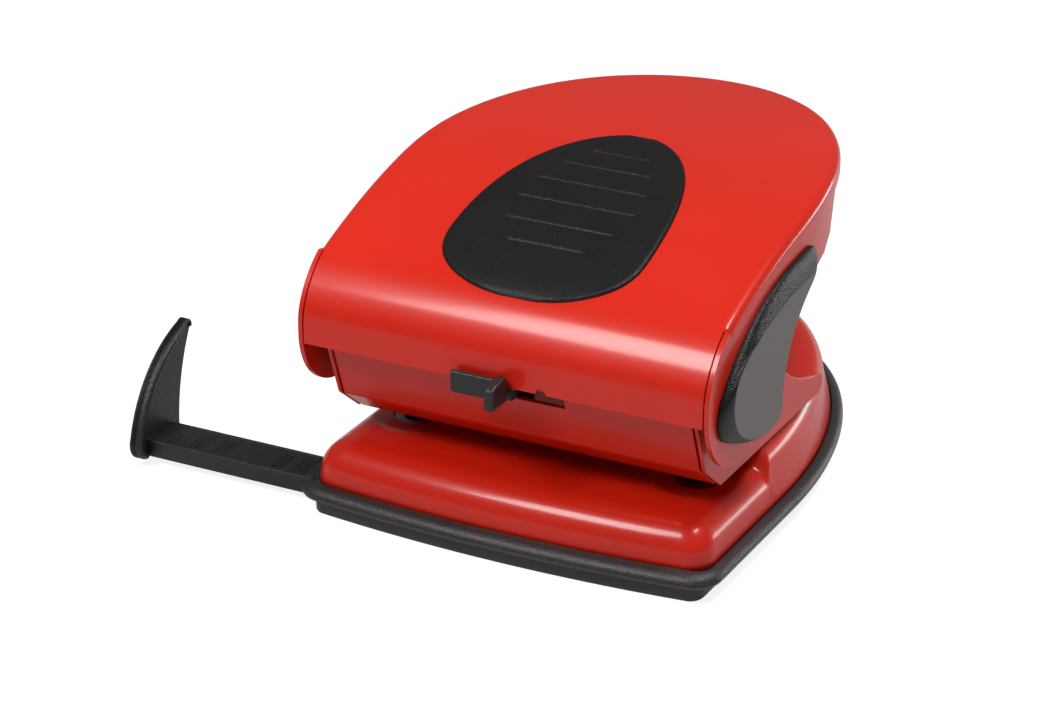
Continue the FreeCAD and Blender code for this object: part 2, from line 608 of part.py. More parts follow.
# ---------------------------------------------------------------- pivots
def pivot_rivet():
    return cross_rivet(PIVOT_R, PIVOT_HEAD_R, PIVOT_Y, PIVOT_Z, CHEEK_IN_X - FACE_GAP,
                       LEVER_HALF_WIDTH + PIVOT_HEAD_GAP)


def spacer_washer():
    low = (CHEEK_OUT_X + WASHER_GAP, PIVOT_Y, PIVOT_Z)
    high = (EAR_IN_X - WASHER_GAP, PIVOT_Y, PIVOT_Z)
    bore = rod(PIVOT_R + SEAT_GAP, (0, PIVOT_Y, PIVOT_Z), (WIDE, PIVOT_Y, PIVOT_Z))
    return rod(WASHER_R, low, high).cut(bore)


# ---------------------------------------------------------------- pins, clips and springs
def punch_pin(side):
    x = side * HOLE_PITCH / 2
    pin = rod(PIN_R, (x, 0, PIN_TIP_Z), (x, 0, PIN_TOP_Z))
    ring = rod(PIN_R * 2, (x, 0, CLIP_TOP_Z - CLIP_THICK), (x, 0, CLIP_TOP_Z))
    core = rod(PIN_R - GROOVE_DEPTH, (x, 0, PIN_TIP_Z), (x, 0, PIN_TOP_Z))
    pin = pin.cut(ring.cut(core))
    notch_r = PIN_R * 2
    notch_z = PIN_TIP_Z - notch_r + PIN_NOTCH_DEPTH
    return pin.cut(rod(notch_r, (x - BEYOND, 0, notch_z), (x + BEYOND, 0, notch_z)))


def spring_clip(side):
    x = side * HOLE_PITCH / 2
    low = CLIP_TOP_Z - CLIP_THICK + CLIP_FACE_GAP
    high = CLIP_TOP_Z - CLIP_FACE_GAP
    outer_r = PIN_R + CLIP_WIDTH
    ring = rod(outer_r, (x, 0, low), (x, 0, high))
    ring = ring.cut(rod(PIN_R - GROOVE_DEPTH + SEAT_GAP, (x, 0, low - BEYOND), (x, 0, high + BEYOND)))
    mouth = (x - CLIP_MOUTH / 2, x + CLIP_MOUTH / 2)
    return ring.cut(box(mouth, (-outer_r - BEYOND, 0), (low - BEYOND, high + BEYOND)))


def return_spring(side):
    x = side * HOLE_PITCH / 2
    low = FRAME_FLOOR_Z + SPRING_END_GAP
    high = CLIP_TOP_Z - CLIP_THICK - SPRING_END_GAP
    tube = rod(SPRING_IN_R + SPRING_WIRE, (x, 0, low), (x, 0, high))
    return tube.cut(rod(SPRING_IN_R, (x, 0, low - BEYOND), (x, 0, high + BEYOND)))


# ---------------------------------------------------------------- lock slide
STEM_END_Y = wall_y(LOCK_SLOT_Z[0]) + FRAME_SHEET + STEM_REACH


def lock_slide():
    """Bar and finger tab in front of the lip, and a stem that dips under the lip into the slot."""
    bar = box(LOCK_BAR_X, LOCK_BAR_Y, LOCK_BAR_Z)
    tab = box(LOCK_TAB_X, (LIP_Y + LOCK_TAB_DEPTH, LOCK_BAR_Y[1]), LOCK_TAB_Z)
    low = LOCK_SLOT_Z[0] + LOCK_PLAY
    high = LOCK_SLOT_Z[1] - LOCK_PLAY
    under_lip = (LIP_BOTTOM_Z - 2.8, LIP_BOTTOM_Z - 0.8)
    stem = side_polygon([
        (LOCK_BAR_Y[1] - 0.5, under_lip[0]),
        (LIP_Y + 2.3, under_lip[0]),
        (LIP_Y + 3.5, low),
        (STEM_END_Y, low),
        (STEM_END_Y, high),
        (LIP_Y + 4.4, high),
        (LIP_Y + 2.9, under_lip[1]),
        (LOCK_BAR_Y[1] - 0.5, under_lip[1]),
    ], LOCK_STEM_X)
    return bar.fuse(tab).fuse(stem)


def lock_keeper():
    """Sheet steel plate behind the front wall that holds the slide in its slot."""
    front_y = STEM_END_Y - LOCK_PLAY
    plate = box((LOCK_STEM_X[0] - KEEPER_BORDER, LOCK_STEM_X[1] + KEEPER_BORDER),
                (front_y, front_y + KEEPER_SHEET),
                (LOCK_SLOT_Z[0] - KEEPER_BORDER, LOCK_SLOT_Z[1] + KEEPER_BORDER))
    hole = box((LOCK_STEM_X[0] - KEEPER_FIT, LOCK_STEM_X[1] + KEEPER_FIT),
               (front_y - BEYOND, front_y + BEYOND),
               (LOCK_SLOT_Z[0] + LOCK_PLAY - KEEPER_FIT, LOCK_SLOT_Z[1] - LOCK_PLAY + KEEPER_FIT))
    return plate.cut(hole)


# ---------------------------------------------------------------- paper guide
def paper_guide():
    rail = box((RAIL_X[0] - STOP_THICK / 2, RAIL_X[1]), RAIL_Y, RAIL_Z)
    fin = side_prism(side_outline([
        ((-1.1, -0.4),),
        ((-4.5, 2.0), (-4.5, 6.4)),
        ((3.3, 20.4), (19.9, 30.4)),
        ((22.7, 30.2), (22.7, 27.8)),
        ((17.5, 15.0), (15.9, 4.2)),
        ((15.9, -0.4),),
    ], (RAIL_Y[0], RAIL_Z[0])), (RAIL_X[0] - STOP_THICK, RAIL_X[0]))
    return rail.fuse(fin)


def guide_leaf_spring():
    """Flat steel strip on the tray floor that rubs on the rail."""
    y = (RAIL_Y[0] + RAIL_Y[1]) / 2
    return box(LEAF_X, (y - LEAF_HALF_WIDTH, y + LEAF_HALF_WIDTH),
               (TRAY_FLOOR + FACE_GAP, RAIL_Z[0] - LEAF_GAP))


# ---------------------------------------------------------------- the nodes
def build():
    nodes = {
        "chad_tray": chad_tray(),
        "base_plate": base_plate(),
        "punch_frame": punch_frame(),
        "frame_rivets": frame_rivets(),
        "guide_bridge": guide_bridge(),
        "bridge_rivets": bridge_rivets(),
        "lever": lever(),
        "presser_bar": presser_bar(),
        "lever_pad": lever_pad(),
        "lock_slide": lock_slide(),
        "lock_keeper": lock_keeper(),
        "paper_guide": paper_guide(),
        "guide_leaf_spring": guide_leaf_spring(),
    }
    for name, side in (("left", -1), ("right", 1)):
        nodes["die_" + name] = die(side)
        nodes["punch_pin_" + name] = punch_pin(side)
        nodes["spring_clip_" + name] = spring_clip(side)
        nodes["return_spring_" + name] = return_spring(side)
    for name, shape in (("side_cap", side_cap()), ("pivot_rivet", pivot_rivet()),
                        ("spacer_washer", spacer_washer())):
        nodes[name + "_right"] = shape
        nodes[name + "_left"] = mirrored(shape)
    return nodes


os.makedirs("parts", exist_ok=True)
for node, shape in build().items():
    shape.exportStep("parts/" + node + ".step")
    box_ = shape.BoundBox
    print("%-20s solids %d valid %s volume %.0f  x %.1f..%.1f y %.1f..%.1f z %.1f..%.1f" % (
        node, len(shape.Solids), shape.isValid(), shape.Volume,
        box_.XMin, box_.XMax, box_.YMin, box_.YMax, box_.ZMin, box_.ZMax))
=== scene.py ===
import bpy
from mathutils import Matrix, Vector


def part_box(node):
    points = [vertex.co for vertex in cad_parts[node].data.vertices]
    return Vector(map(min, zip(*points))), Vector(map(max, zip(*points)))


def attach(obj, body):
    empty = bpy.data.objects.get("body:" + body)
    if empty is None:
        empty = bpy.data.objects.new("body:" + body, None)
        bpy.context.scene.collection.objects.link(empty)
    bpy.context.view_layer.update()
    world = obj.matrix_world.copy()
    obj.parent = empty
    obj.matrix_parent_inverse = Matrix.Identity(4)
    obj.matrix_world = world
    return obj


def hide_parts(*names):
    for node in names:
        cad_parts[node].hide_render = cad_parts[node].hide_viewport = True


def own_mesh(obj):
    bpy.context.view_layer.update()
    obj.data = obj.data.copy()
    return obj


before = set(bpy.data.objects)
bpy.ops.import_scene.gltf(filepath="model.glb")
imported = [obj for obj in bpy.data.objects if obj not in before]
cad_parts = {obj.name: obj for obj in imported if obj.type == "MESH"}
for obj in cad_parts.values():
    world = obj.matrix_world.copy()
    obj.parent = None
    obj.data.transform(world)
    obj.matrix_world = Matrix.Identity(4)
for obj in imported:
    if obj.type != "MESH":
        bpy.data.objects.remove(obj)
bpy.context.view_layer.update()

import math
import bpy
import bmesh
from mathutils import Vector

# ---------------------------------------------------------------- camera
# A long lens seen from the right front, a little above the lever, as a catalogue shows a punch.
MM = 0.001
AZIMUTH = math.radians(27.38)
ELEVATION = math.radians(24.36)
DISTANCE = 0.890
camera_data = bpy.data.cameras.new("camera")
camera_data.lens = 120.0
camera_data.sensor_width = 36.0
camera_data.clip_start = 0.01
camera = bpy.data.objects.new("camera", camera_data)
bpy.context.scene.collection.objects.link(camera)
forward = Vector((-math.sin(AZIMUTH) * math.cos(ELEVATION),
                  math.cos(AZIMUTH) * math.cos(ELEVATION),
                  -math.sin(ELEVATION)))
aim = Vector((-6.57, 0.0, 41.47)) * MM
camera.location = aim - forward * DISTANCE
camera.rotation_euler = forward.to_track_quat("-Z", "Y").to_euler()
bpy.context.scene.camera = camera
bpy.context.scene.view_settings.view_transform = "Standard"


# ---------------------------------------------------------------- studio
# A pale sweep of paper under the punch, a soft box above and in front, one overhead, a low one
# behind to the right, and a dim room, a little paler above, whose backdrop is plain white.
class Sock:
    """A shader output. Arithmetic on it adds Math nodes, and node() adds any other node."""

    def __init__(self, tree, out=None):
        self.tree = tree
        self.out = out

    def node(self, kind, settings=None, inputs=None, pick=0):
        made = self.tree.nodes.new(kind)
        for name, value in (settings or {}).items():
            setattr(made, name, value)
        for key, value in (inputs or {}).items():
            if isinstance(value, Sock):
                self.tree.links.new(value.out, made.inputs[key])
            else:
                made.inputs[key].default_value = value
        return Sock(self.tree, made.outputs[pick] if made.outputs else None)

    def math(self, operation, a, b):
        return self.node("ShaderNodeMath", {"operation": operation}, {0: a, 1: b})

    def __add__(self, other):
        return self.math("ADD", self, other)

    def __radd__(self, other):
        return self.math("ADD", other, self)

    def __sub__(self, other):
        return self.math("SUBTRACT", self, other)

    def __rsub__(self, other):
        return self.math("SUBTRACT", other, self)

    def __mul__(self, other):
        return self.math("MULTIPLY", self, other)

    def __rmul__(self, other):
        return self.math("MULTIPLY", other, self)

    def above(self, level, softness):
        """0 below the level, 1 above it, with a soft step between."""
        return self.node("ShaderNodeMapRange", {"interpolation_type": "SMOOTHSTEP"},
                         {"Value": self, "From Min": level - softness, "From Max": level + softness})

    def mix(self, low, high):
        """A colour between two, this socket being the factor."""
        return self.node("ShaderNodeMix", {"data_type": "RGBA"}, {0: self, 6: low, 7: high}, pick=2)


world = bpy.data.worlds.new("studio")
bpy.context.scene.world = world
world.use_nodes = True
world.node_tree.nodes.clear()
sky = Sock(world.node_tree)
direction = sky.node("ShaderNodeTexCoord", pick=0)
height = direction.node("ShaderNodeSeparateXYZ", inputs={0: direction}, pick=2)
room = height.above(0.35, 0.65).mix((0.15, 0.14, 0.13, 1), (0.20, 0.20, 0.21, 1))
seen = sky.node("ShaderNodeLightPath", pick=0)
glow = sky.node("ShaderNodeBackground", inputs={"Color": seen.mix(room, (1.0, 1.0, 1.0, 1))})
sky.node("ShaderNodeOutputWorld", inputs={"Surface": glow})


def soft_box(name, place, target, size, power):
    data = bpy.data.lights.new(name, "AREA")
    data.shape = "RECTANGLE"
    data.size = size[0]
    data.size_y = size[1]
    data.energy = power
    lamp = bpy.data.objects.new(name, data)
    bpy.context.scene.collection.objects.link(lamp)
    lamp.location = place
    lamp.rotation_euler = (Vector(target) - Vector(place)).to_track_quat("-Z", "Y").to_euler()


soft_box("key_box", (-0.22, -0.46, 0.62), (0.02, 0.0, 0.05), (0.26, 0.24), 3.9)
soft_box("top_box", (0.30, 0.12, 0.85), (0, 0.03, 0.06), (0.28, 0.28), 5.0)
soft_box("side_box", (0.42, 0.74, 0.06), (0.05, 0.02, 0.05), (0.40, 0.10), 1.2)

floor_mesh = bpy.data.meshes.new("floor")
floor_mesh.from_pydata([(-6, -6, 0), (6, -6, 0), (6, 6, 0), (-6, 6, 0)], [], [(0, 1, 2, 3)])
floor = bpy.data.objects.new("floor", floor_mesh)
bpy.context.scene.collection.objects.link(floor)
paper = bpy.data.materials.new("pale_paper")
paper.use_nodes = True
paper_shader = paper.node_tree.nodes["Principled BSDF"]
paper_shader.inputs["Base Color"].default_value = (0.30, 0.30, 0.30, 1)
paper_shader.inputs["Roughness"].default_value = 0.9
paper_shader.inputs["Specular IOR Level"].default_value = 0.0
paper_shader.inputs["Emission Strength"].default_value = 0.85
paper_seen = Sock(paper.node_tree).node("ShaderNodeLightPath", pick=0)
paper_glow = paper_seen.mix((0.40, 0.40, 0.42, 1), (1, 1, 1, 1))
paper.node_tree.links.new(paper_glow.out, paper_shader.inputs["Emission Color"])
floor_mesh.materials.append(paper)


# ---------------------------------------------------------------- chad tray
# The lower shell, moulded in black plastic: a plain foot, a thicker rolled rim that hides the edge
# of the steel base, and a gate on the left for the paper guide. It clips on and swings down.
def finish(name, color, roughness, metallic=0.0, coat=0.0, coat_roughness=0.05, specular=0.5):
    """A new material with its uniform values set; returns it with its shader and a start socket."""
    material = bpy.data.materials.new(name)
    material.use_nodes = True
    shader = material.node_tree.nodes["Principled BSDF"]
    for key, value in (("Base Color", (*color, 1)), ("Roughness", roughness), ("Metallic", metallic),
                       ("Coat Weight", coat), ("Coat Roughness", coat_roughness),
                       ("Specular IOR Level", specular)):
        shader.inputs[key].default_value = value
    start = Sock(material.node_tree)
    return material, shader, start


def into(shader, key, sock):
    sock.tree.links.new(sock.out, shader.inputs[key])


def place_of(start):
    """The point on the piece in metres, which moves with it."""
    return start.node("ShaderNodeTexCoord", pick=3)


def noise(start, scale, detail=2.0, roughness=0.5):
    return start.node("ShaderNodeTexNoise", inputs={"Vector": place_of(start), "Scale": scale,
                                                    "Detail": detail, "Roughness": roughness})


def bump(height, distance, strength=1.0):
    return height.node("ShaderNodeBump", inputs={"Height": height, "Distance": distance,
                                                 "Strength": strength})


def grained_plastic(name, color, roughness, grain, depth, specular=0.45):
    """Moulded plastic with a spark-eroded grain, slightly shinier on its high spots."""
    material, shader, start = finish(name, color, roughness, specular=specular)
    fine = noise(start, grain, 2.0, 0.55)
    broad = noise(start, 60.0, 3.0)
    tone = (broad * 0.6 + fine * 0.4).above(0.5, 0.35)
    dark = tuple(0.75 * c for c in color) + (1,)
    pale = tuple(1.35 * c for c in color) + (1,)
    into(shader, "Base Color", tone.mix(dark, pale))
    into(shader, "Roughness", roughness - 0.12 + fine * 0.16 + broad * 0.08)
    into(shader, "Normal", bump(fine, depth))
    return material


black_plastic = grained_plastic("black_plastic", (0.012, 0.0105, 0.0105), 0.42, 2300.0, 0.00015)
tray_plastic = grained_plastic("tray_plastic", (0.024, 0.021, 0.021), 0.40, 2300.0, 0.00015, 0.5)


def piece(name, points, faces, body, node, material, smooth_deg=32.0):
    """A mesh object from points in millimetres that stands for a CAD node."""
    mesh = bpy.data.meshes.new(name)
    mesh.from_pydata([tuple(c * MM for c in p) for p in points], [], faces)
    mesh.validate()
    tidy = bmesh.new()
    tidy.from_mesh(mesh)
    bmesh.ops.remove_doubles(tidy, verts=tidy.verts, dist=0.5e-6)
    bmesh.ops.recalc_face_normals(tidy, faces=tidy.faces)
    tidy.to_mesh(mesh)
    tidy.free()
    mesh.materials.append(material)
    obj = bpy.data.objects.new(name, mesh)
    bpy.context.scene.collection.objects.link(obj)
    mesh.shade_smooth()
    mesh.set_sharp_from_angle(angle=math.radians(smooth_deg))
    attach(obj, body)
    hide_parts(node)
    return obj


def rounded(obj, width, segments=3, angle=30.0):
    """Rounds the sharp edges of a piece by a width in millimetres."""
    mod = obj.modifiers.new("edges", "BEVEL")
    mod.width = width * MM
    mod.segments = segments
    mod.limit_method = "ANGLE"
    mod.angle_limit = math.radians(angle)
    mod.harden_normals = True
    return obj


def sheet_metal(obj, thickness):
    """Gives an outer skin its sheet thickness, inwards."""
    mod = obj.modifiers.new("sheet", "SOLIDIFY")
    mod.thickness = thickness * MM
    mod.offset = -1.0
    mod.use_even_offset = True
    return obj


def apply_modifiers(obj):
    graph = bpy.context.evaluated_depsgraph_get()
    mesh = bpy.data.meshes.new_from_object(obj.evaluated_get(graph))
    old = obj.data
    obj.modifiers.clear()
    obj.data = mesh
    mesh.name = old.name
    return obj


def subtract(obj, shape):
    """Cuts a closed bmesh shape out of a piece."""
    tool_mesh = bpy.data.meshes.new("cutter")
    shape.to_mesh(tool_mesh)
    shape.free()
    tool = bpy.data.objects.new("cutter", tool_mesh)
    bpy.context.scene.collection.objects.link(tool)
    mod = obj.modifiers.new("cut", "BOOLEAN")
    mod.object = tool
    mod.operation = "DIFFERENCE"
    mod.solver = "EXACT"
    apply_modifiers(obj)
    bpy.data.objects.remove(tool)


def cut(obj, low, high):
    """Cuts a box, given in millimetres, out of a piece."""
    middle = [(a + b) / 2 * MM for a, b in zip(low, high)]
    half = [(b - a) / 2 * MM for a, b in zip(low, high)]
    shape = bmesh.new()
    bmesh.ops.create_cube(shape, size=2.0)
    for v in shape.verts:
        v.co = Vector([m + h * c for m, h, c in zip(middle, half, v.co)])
    subtract(obj, shape)


RIM = {"half": 58.6, "front": -36.4, "taper": 18.0, "tail": 97.98, "corner": 8.0, "bow": 430.0}


def base_outline(half, front, taper, tail, corner, bow):
    """Stations round the base, in four runs that share their ends: front, right, tail and left."""
    rise = math.sqrt((bow - corner) ** 2 - (half - corner) ** 2)
    corner_y = front + bow - rise
    reach = (half - corner) * bow / (bow - corner)
    bow_y = front + bow
    split = math.radians(45)

    def bowed(x):
        return (x, bow_y - math.sqrt(bow ** 2 - x ** 2))

    def cornered(side, turn):
        return (side * (half - corner + corner * math.sin(turn)), corner_y - corner * math.cos(turn))

    def tailed(turn):
        return (half * math.cos(turn), taper + tail * math.sin(turn))

    lean = math.asin(reach / bow)
    middle_turn = (lean + math.pi / 2) / 2
    steps = 8
    left_corner = [cornered(-1, middle_turn + (lean - middle_turn) * i / steps) for i in range(steps + 1)]
    right_corner = [cornered(1, lean + (middle_turn - lean) * i / steps) for i in range(steps + 1)]
    bowed_run = [bowed(-reach + 2 * reach * i / 64) for i in range(1, 64)]
    front_run = left_corner + bowed_run + right_corner
    side_up = [cornered(1, middle_turn + (math.pi / 2 - middle_turn) * i / steps) for i in range(steps + 1)]
    straight = [(half, corner_y + (taper - corner_y) * i / 46) for i in range(1, 46)]
    shoulder = [tailed(split * i / 40) for i in range(41)]
    right_run = side_up + straight + shoulder
    tail_run = [tailed(split + (math.pi - 2 * split) * i / 80) for i in range(81)]
    left_run = [(-x, y) for x, y in reversed(right_run)]
    return front_run, right_run, tail_run, left_run


def closed(runs):
    """The four runs as one loop with no repeated points."""
    return [p for run in runs for p in run[:-1]]


def normals(loop):
    """Outward unit normals of a counter-clockwise loop."""
    found = []
    for i in range(len(loop)):
        ax, ay = loop[i - 1]
        bx, by = loop[(i + 1) % len(loop)]
        length = math.hypot(bx - ax, by - ay)
        found.append(((by - ay) / length, -(bx - ax) / length))
    return found


def ring_faces(rings, count):
    """Quads between closed rings of points that follow each other."""
    faces = []
    for low in range(0, (rings - 1) * count, count):
        high = low + count
        for i in range(count):
            j = (i + 1) % count
            faces.append((low + i, low + j, high + j, high + i))
    return faces


def swept(loop, section):
    """Rings of points: the section gives (inset at the sides, inset at the front, height)."""
    points = []
    for side_inset, front_inset, z in section:
        for (x, y), (nx, ny) in zip(loop, normals(loop)):
            front = max(0.0, -ny) ** 2
            inset = side_inset + (front_inset - side_inset) * front
            points.append((x - nx * inset, y - ny * inset, z))
    return points, ring_faces(len(section), len(loop))


rim_runs = base_outline(**RIM)
rim_loop = closed(rim_runs)
tray_section = [
    (5.1, 3.7, 0.0), (4.6, 3.2, 0.15), (4.35, 2.95, 0.6), (4.25, 2.8, 3.0), (4.2, 2.75, 4.1),
    (3.2, 2.2, 4.35), (1.5, 1.2, 4.5), (0.75, 0.55, 4.75), (0.35, 0.3, 5.2), (0.22, 0.2, 5.7),
    (0.3, 0.3, 5.85), (0.0, 0.0, 6.1), (0.08, 0.1, 6.5), (0.35, 0.4, 7.0), (0.8, 0.95, 7.5),
    (1.4, 1.7, 7.95), (2.1, 2.7, 8.2), (2.7, 3.6, 8.28), (3.0, 4.1, 8.2), (3.12, 4.3, 7.9),
    (3.15, 4.35, 7.2), (6.2, 6.6, 7.2), (6.2, 6.6, 1.6)]
tray_points, tray_faces = swept(rim_loop, tray_section)
count = len(rim_loop)
tray_faces.append(tuple(range(count)))
tray_faces.append(tuple((len(tray_section) - 1) * count + i for i in range(count)))
tray = piece("tray_shell", tray_points, tray_faces, "tray", "chad_tray",
             tray_plastic, 40.0)
RAIL_FRONT = -25.9
RAIL_REAR = -13.3
RAIL_BOTTOM = 2.2
RAIL_TOP = 6.8
GATE_GAP = 0.35
cut(tray, (-62, RAIL_FRONT - GATE_GAP, RAIL_BOTTOM - 0.3), (-50, RAIL_REAR + GATE_GAP, 9))


# ---------------------------------------------------------------- base plate
# Deep-drawn sheet steel in glossy red lacquer: a low bed where the paper lies, a raised deck behind
# it that carries the punch frame, and a shallow round dimple about each die.
def lacquer(name):
    """Sprayed and baked red lacquer: clear coat with a faint orange peel over a softer red."""
    material, shader, start = finish(name, (0.60, 0.015, 0.004), 0.34, coat=0.42, coat_roughness=0.15,
                                     specular=0.2)
    cloud = noise(start, 18.0, 2.0)
    into(shader, "Base Color", cloud.above(0.5, 0.5).mix((0.56, 0.013, 0.003, 1), (0.62, 0.018, 0.005, 1)))
    peel = noise(start, 620.0, 2.0, 0.6)
    speck = noise(start, 2600.0, 1.0)
    into(shader, "Roughness", 0.27 + cloud * 0.08 + speck * 0.06)
    into(shader, "Normal", bump(peel * 0.8 + speck * 0.2, 0.000035))
    return material


red_lacquer = lacquer("red_lacquer")


def smooth(a, b, t):
    """0 below a, 1 above b, with a soft start and end."""
    s = min(1.0, max(0.0, (t - a) / (b - a)))
    return s * s * (3 - 2 * s)


def patch(front, right, tail, left, keep_front, keep_tail):
    """Grid between four edge runs; straight rows except near the front and the tail."""
    rows = []
    last = len(right) - 1
    for i in range(last + 1):
        a = left[last - i]
        b = right[i]
        v = i / last
        near = 1 - smooth(0.0, keep_front, v)
        far = smooth(1 - keep_tail, 1.0, v)
        row = []
        for j in range(len(front)):
            u = j / (len(front) - 1)
            tail_point = tail[len(tail) - 1 - j]
            point = []
            for k in range(2):
                line = a[k] + (b[k] - a[k]) * u
                line += near * (front[j][k] - (front[0][k] + (front[-1][k] - front[0][k]) * u))
                line += far * (tail_point[k] - (tail[-1][k] + (tail[0][k] - tail[-1][k]) * u))
                point.append(line)
            row.append(tuple(point))
        rows.append(row)
    return rows


def grid_faces(rows, columns, start=0):
    faces = []
    for i in range(rows - 1):
        for j in range(columns - 1):
            k = start + i * columns + j
            faces.append((k, k + 1, k + columns + 1, k + columns))
    return faces


BED = 18.2
DECK = 23.0
DECK_FRONT = 13.0
BED_EDGE_R = 8.0
DECK_EDGE_R = 7.0
DIMPLE_R = 11.0
DIMPLE_DEPTH = 0.8
HOLE_X = 40.0
SKIRT_FOOT = 7.3
PLATE_SIDE = 3.5
PLATE_FRONT = 4.7
STEP_HALF = 1.8


def deck_height(y):
    """Top of the base plate: the bed, and the step up to the deck."""
    return BED + (DECK - BED) * smooth(DECK_FRONT - STEP_HALF, DECK_FRONT + STEP_HALF, y)


def dimpled(x, y, z):
    """The height z lowered to the flat floor of a dimple where the point lies in one."""
    inside = 1 - smooth(DIMPLE_R - 1.6, DIMPLE_R + 0.9, math.hypot(abs(x) - HOLE_X, y))
    return z + (min(z, BED - DIMPLE_DEPTH) - z) * inside


def plate_outline(inset, corner):
    """The plate's plan outline, drawn in by an inset, in four runs."""
    sizes = dict(RIM)
    sizes["half"] -= PLATE_SIDE + inset
    sizes["front"] += PLATE_FRONT + inset
    sizes["tail"] -= PLATE_SIDE + inset
    sizes["corner"] = corner
    return base_outline(**sizes)


def paired(run, inner, axis, places):
    """Pairs of points, on a run and on the same place of its inner run, at the given x or y values."""
    found = []
    for place in places:
        for k in range(len(run) - 1):
            a, b = run[k][axis], run[k + 1][axis]
            if a - 1e-6 <= place <= b + 1e-6:
                t = 0 if b - a < 1e-9 else (place - a) / (b - a)
                found.append([[p[k][c] + (p[k + 1][c] - p[k][c]) * t for c in range(2)]
                              for p in (run, inner)])
                break
    return found


def plate_runs():
    """The plate's outline in four runs of points, each with its twin where the rolled edge ends. The
    rows are fine where the bed steps up and dips."""
    outer = plate_outline(0.0, PLATE_CORNER_R)
    inner = plate_outline(ROLL_REACH, INNER_CORNER_R)
    low, high = outer[1][0][1], outer[1][-1][1]
    places = [low]
    while places[-1] < high - 1.5:
        fine = -DIMPLE_R - 2 < places[-1] < DECK_FRONT + 4
        places.append(places[-1] + (0.6 if fine else 1.3))
    side = paired(outer[1], inner[1], 1, places + [high])
    steps = 180
    start, end = outer[0][0][0], outer[0][-1][0]
    front = paired(outer[0], inner[0], 0, [start + (end - start) * i / steps for i in range(steps + 1)])
    tail = []
    half, depth = RIM["half"] - PLATE_SIDE, RIM["tail"] - PLATE_SIDE
    turn = math.radians(45)
    for i in range(steps + 1):
        a = turn + (math.pi - 2 * turn) * i / steps
        tail.append([((half - reach) * math.cos(a), RIM["taper"] + (depth - reach) * math.sin(a))
                     for reach in (0.0, ROLL_REACH)])
    left = [[(-x, y) for x, y in pair] for pair in reversed(side)]
    return front, side, tail, left


ROLL_REACH = 9.6
PLATE_CORNER_R = 7.0
INNER_CORNER_R = 1.6
plate = plate_runs()
plate_loop = closed(plate)
plate_points = []
roll_turns = [math.radians(90 - 7.5 * k) for k in range(13)]
DRAFT = 0.35
DECK_DRAFT = 1.7
STEP_SPREAD = 2.4
rings = len(roll_turns) + 3
for step in range(rings):
    for (x, y), (in_x, in_y) in plate_loop:
        raised = smooth(DECK_FRONT - STEP_SPREAD, DECK_FRONT + STEP_SPREAD, y)
        top = BED + (DECK - BED) * raised
        radius = BED_EDGE_R + (DECK_EDGE_R - BED_EDGE_R) * raised
        lean = DRAFT + DECK_DRAFT * raised
        if step < 2:
            inset = 0.05 * step
            z = SKIRT_FOOT + 1.2 * step
        elif step < rings - 1:
            turn = roll_turns[step - 2]
            inset = lean + radius * (1 - math.sin(turn))
            z = top - radius * (1 - math.cos(turn))
        else:
            inset = ROLL_REACH
            z = deck_height(in_y)
        share = inset / ROLL_REACH
        px, py = x + (in_x - x) * share, y + (in_y - y) * share
        plate_points.append((px, py, dimpled(px, py, z)))
count = len(plate_loop)
plate_faces = ring_faces(rings, count)
inner_loop = [(p[0], p[1]) for p in plate_points[(rings - 1) * count:]]
sizes = [len(run) - 1 for run in plate]
ends = [0, sizes[0], sizes[0] + sizes[1], sizes[0] + sizes[1] + sizes[2], count]
inner_runs = [[inner_loop[k % count] for k in range(ends[r], ends[r + 1] + 1)] for r in range(4)]
rows = patch(*inner_runs, 0.12, 0.35)
first = len(plate_points)
plate_points += [(x, y, dimpled(x, y, deck_height(y))) for row in rows for x, y in row]
plate_faces += grid_faces(len(rows), len(rows[0]), first)
base = piece("base_shell", plate_points, plate_faces, "base", "base_plate",
             red_lacquer, 50.0)
sheet_metal(base, 1.1).modifiers["sheet"].use_even_offset = False
apply_modifiers(base)


def cut_round(obj, x, y, z, radius):
    """Cuts a round hole through a piece, with its axis up."""
    shape = bmesh.new()
    bmesh.ops.create_cone(shape, cap_ends=True, segments=64, radius1=radius * MM, radius2=radius * MM,
                          depth=(z[1] - z[0]) * MM)
    for v in shape.verts:
        v.co += Vector((x * MM, y * MM, (z[0] + z[1]) / 2 * MM))
    subtract(obj, shape)


DIE_HOLE_R = 5.6
for side in (-1, 1):
    cut_round(base, side * HOLE_X, 0.0, (BED - 5, BED + 5), DIE_HOLE_R)


# ---------------------------------------------------------------- punch frame
# One pressing of red sheet steel on the deck: a floor, a leaning front wall with the slot for the
# lock, and two side cheeks that carry the lever's pivots.
FRAME_FOOT = 23.1
FLOOR_FRONT = -11.4
FLOOR_REAR = 46.0
LEAD = (-20.4, 30.3)
WALL_TOP = 50.5
WALL_SLOPE = 0.356
WALL_HALF = 49.4
SHEET = 1.2
SLOT_X = (-10.4, 15.0)
SLOT_Z = (41.3, 45.2)


def bend(before, corner, after, radius, steps=6):
    """Points of a rounded corner between two straight runs."""
    a = Vector((before[0] - corner[0], before[1] - corner[1])).normalized()
    b = Vector((after[0] - corner[0], after[1] - corner[1])).normalized()
    half = a.angle(b) / 2
    length = radius / math.tan(half)
    start = Vector(corner) + a * length
    end = Vector(corner) + b * length
    found = []
    for i in range(steps + 1):
        t = i / steps
        p = start * (1 - t) ** 2 + Vector(corner) * 2 * t * (1 - t) + end * t ** 2
        found.append((p.x, p.y))
    return found


def wall_y(z):
    return LEAD[0] - WALL_SLOPE * (z - LEAD[1])


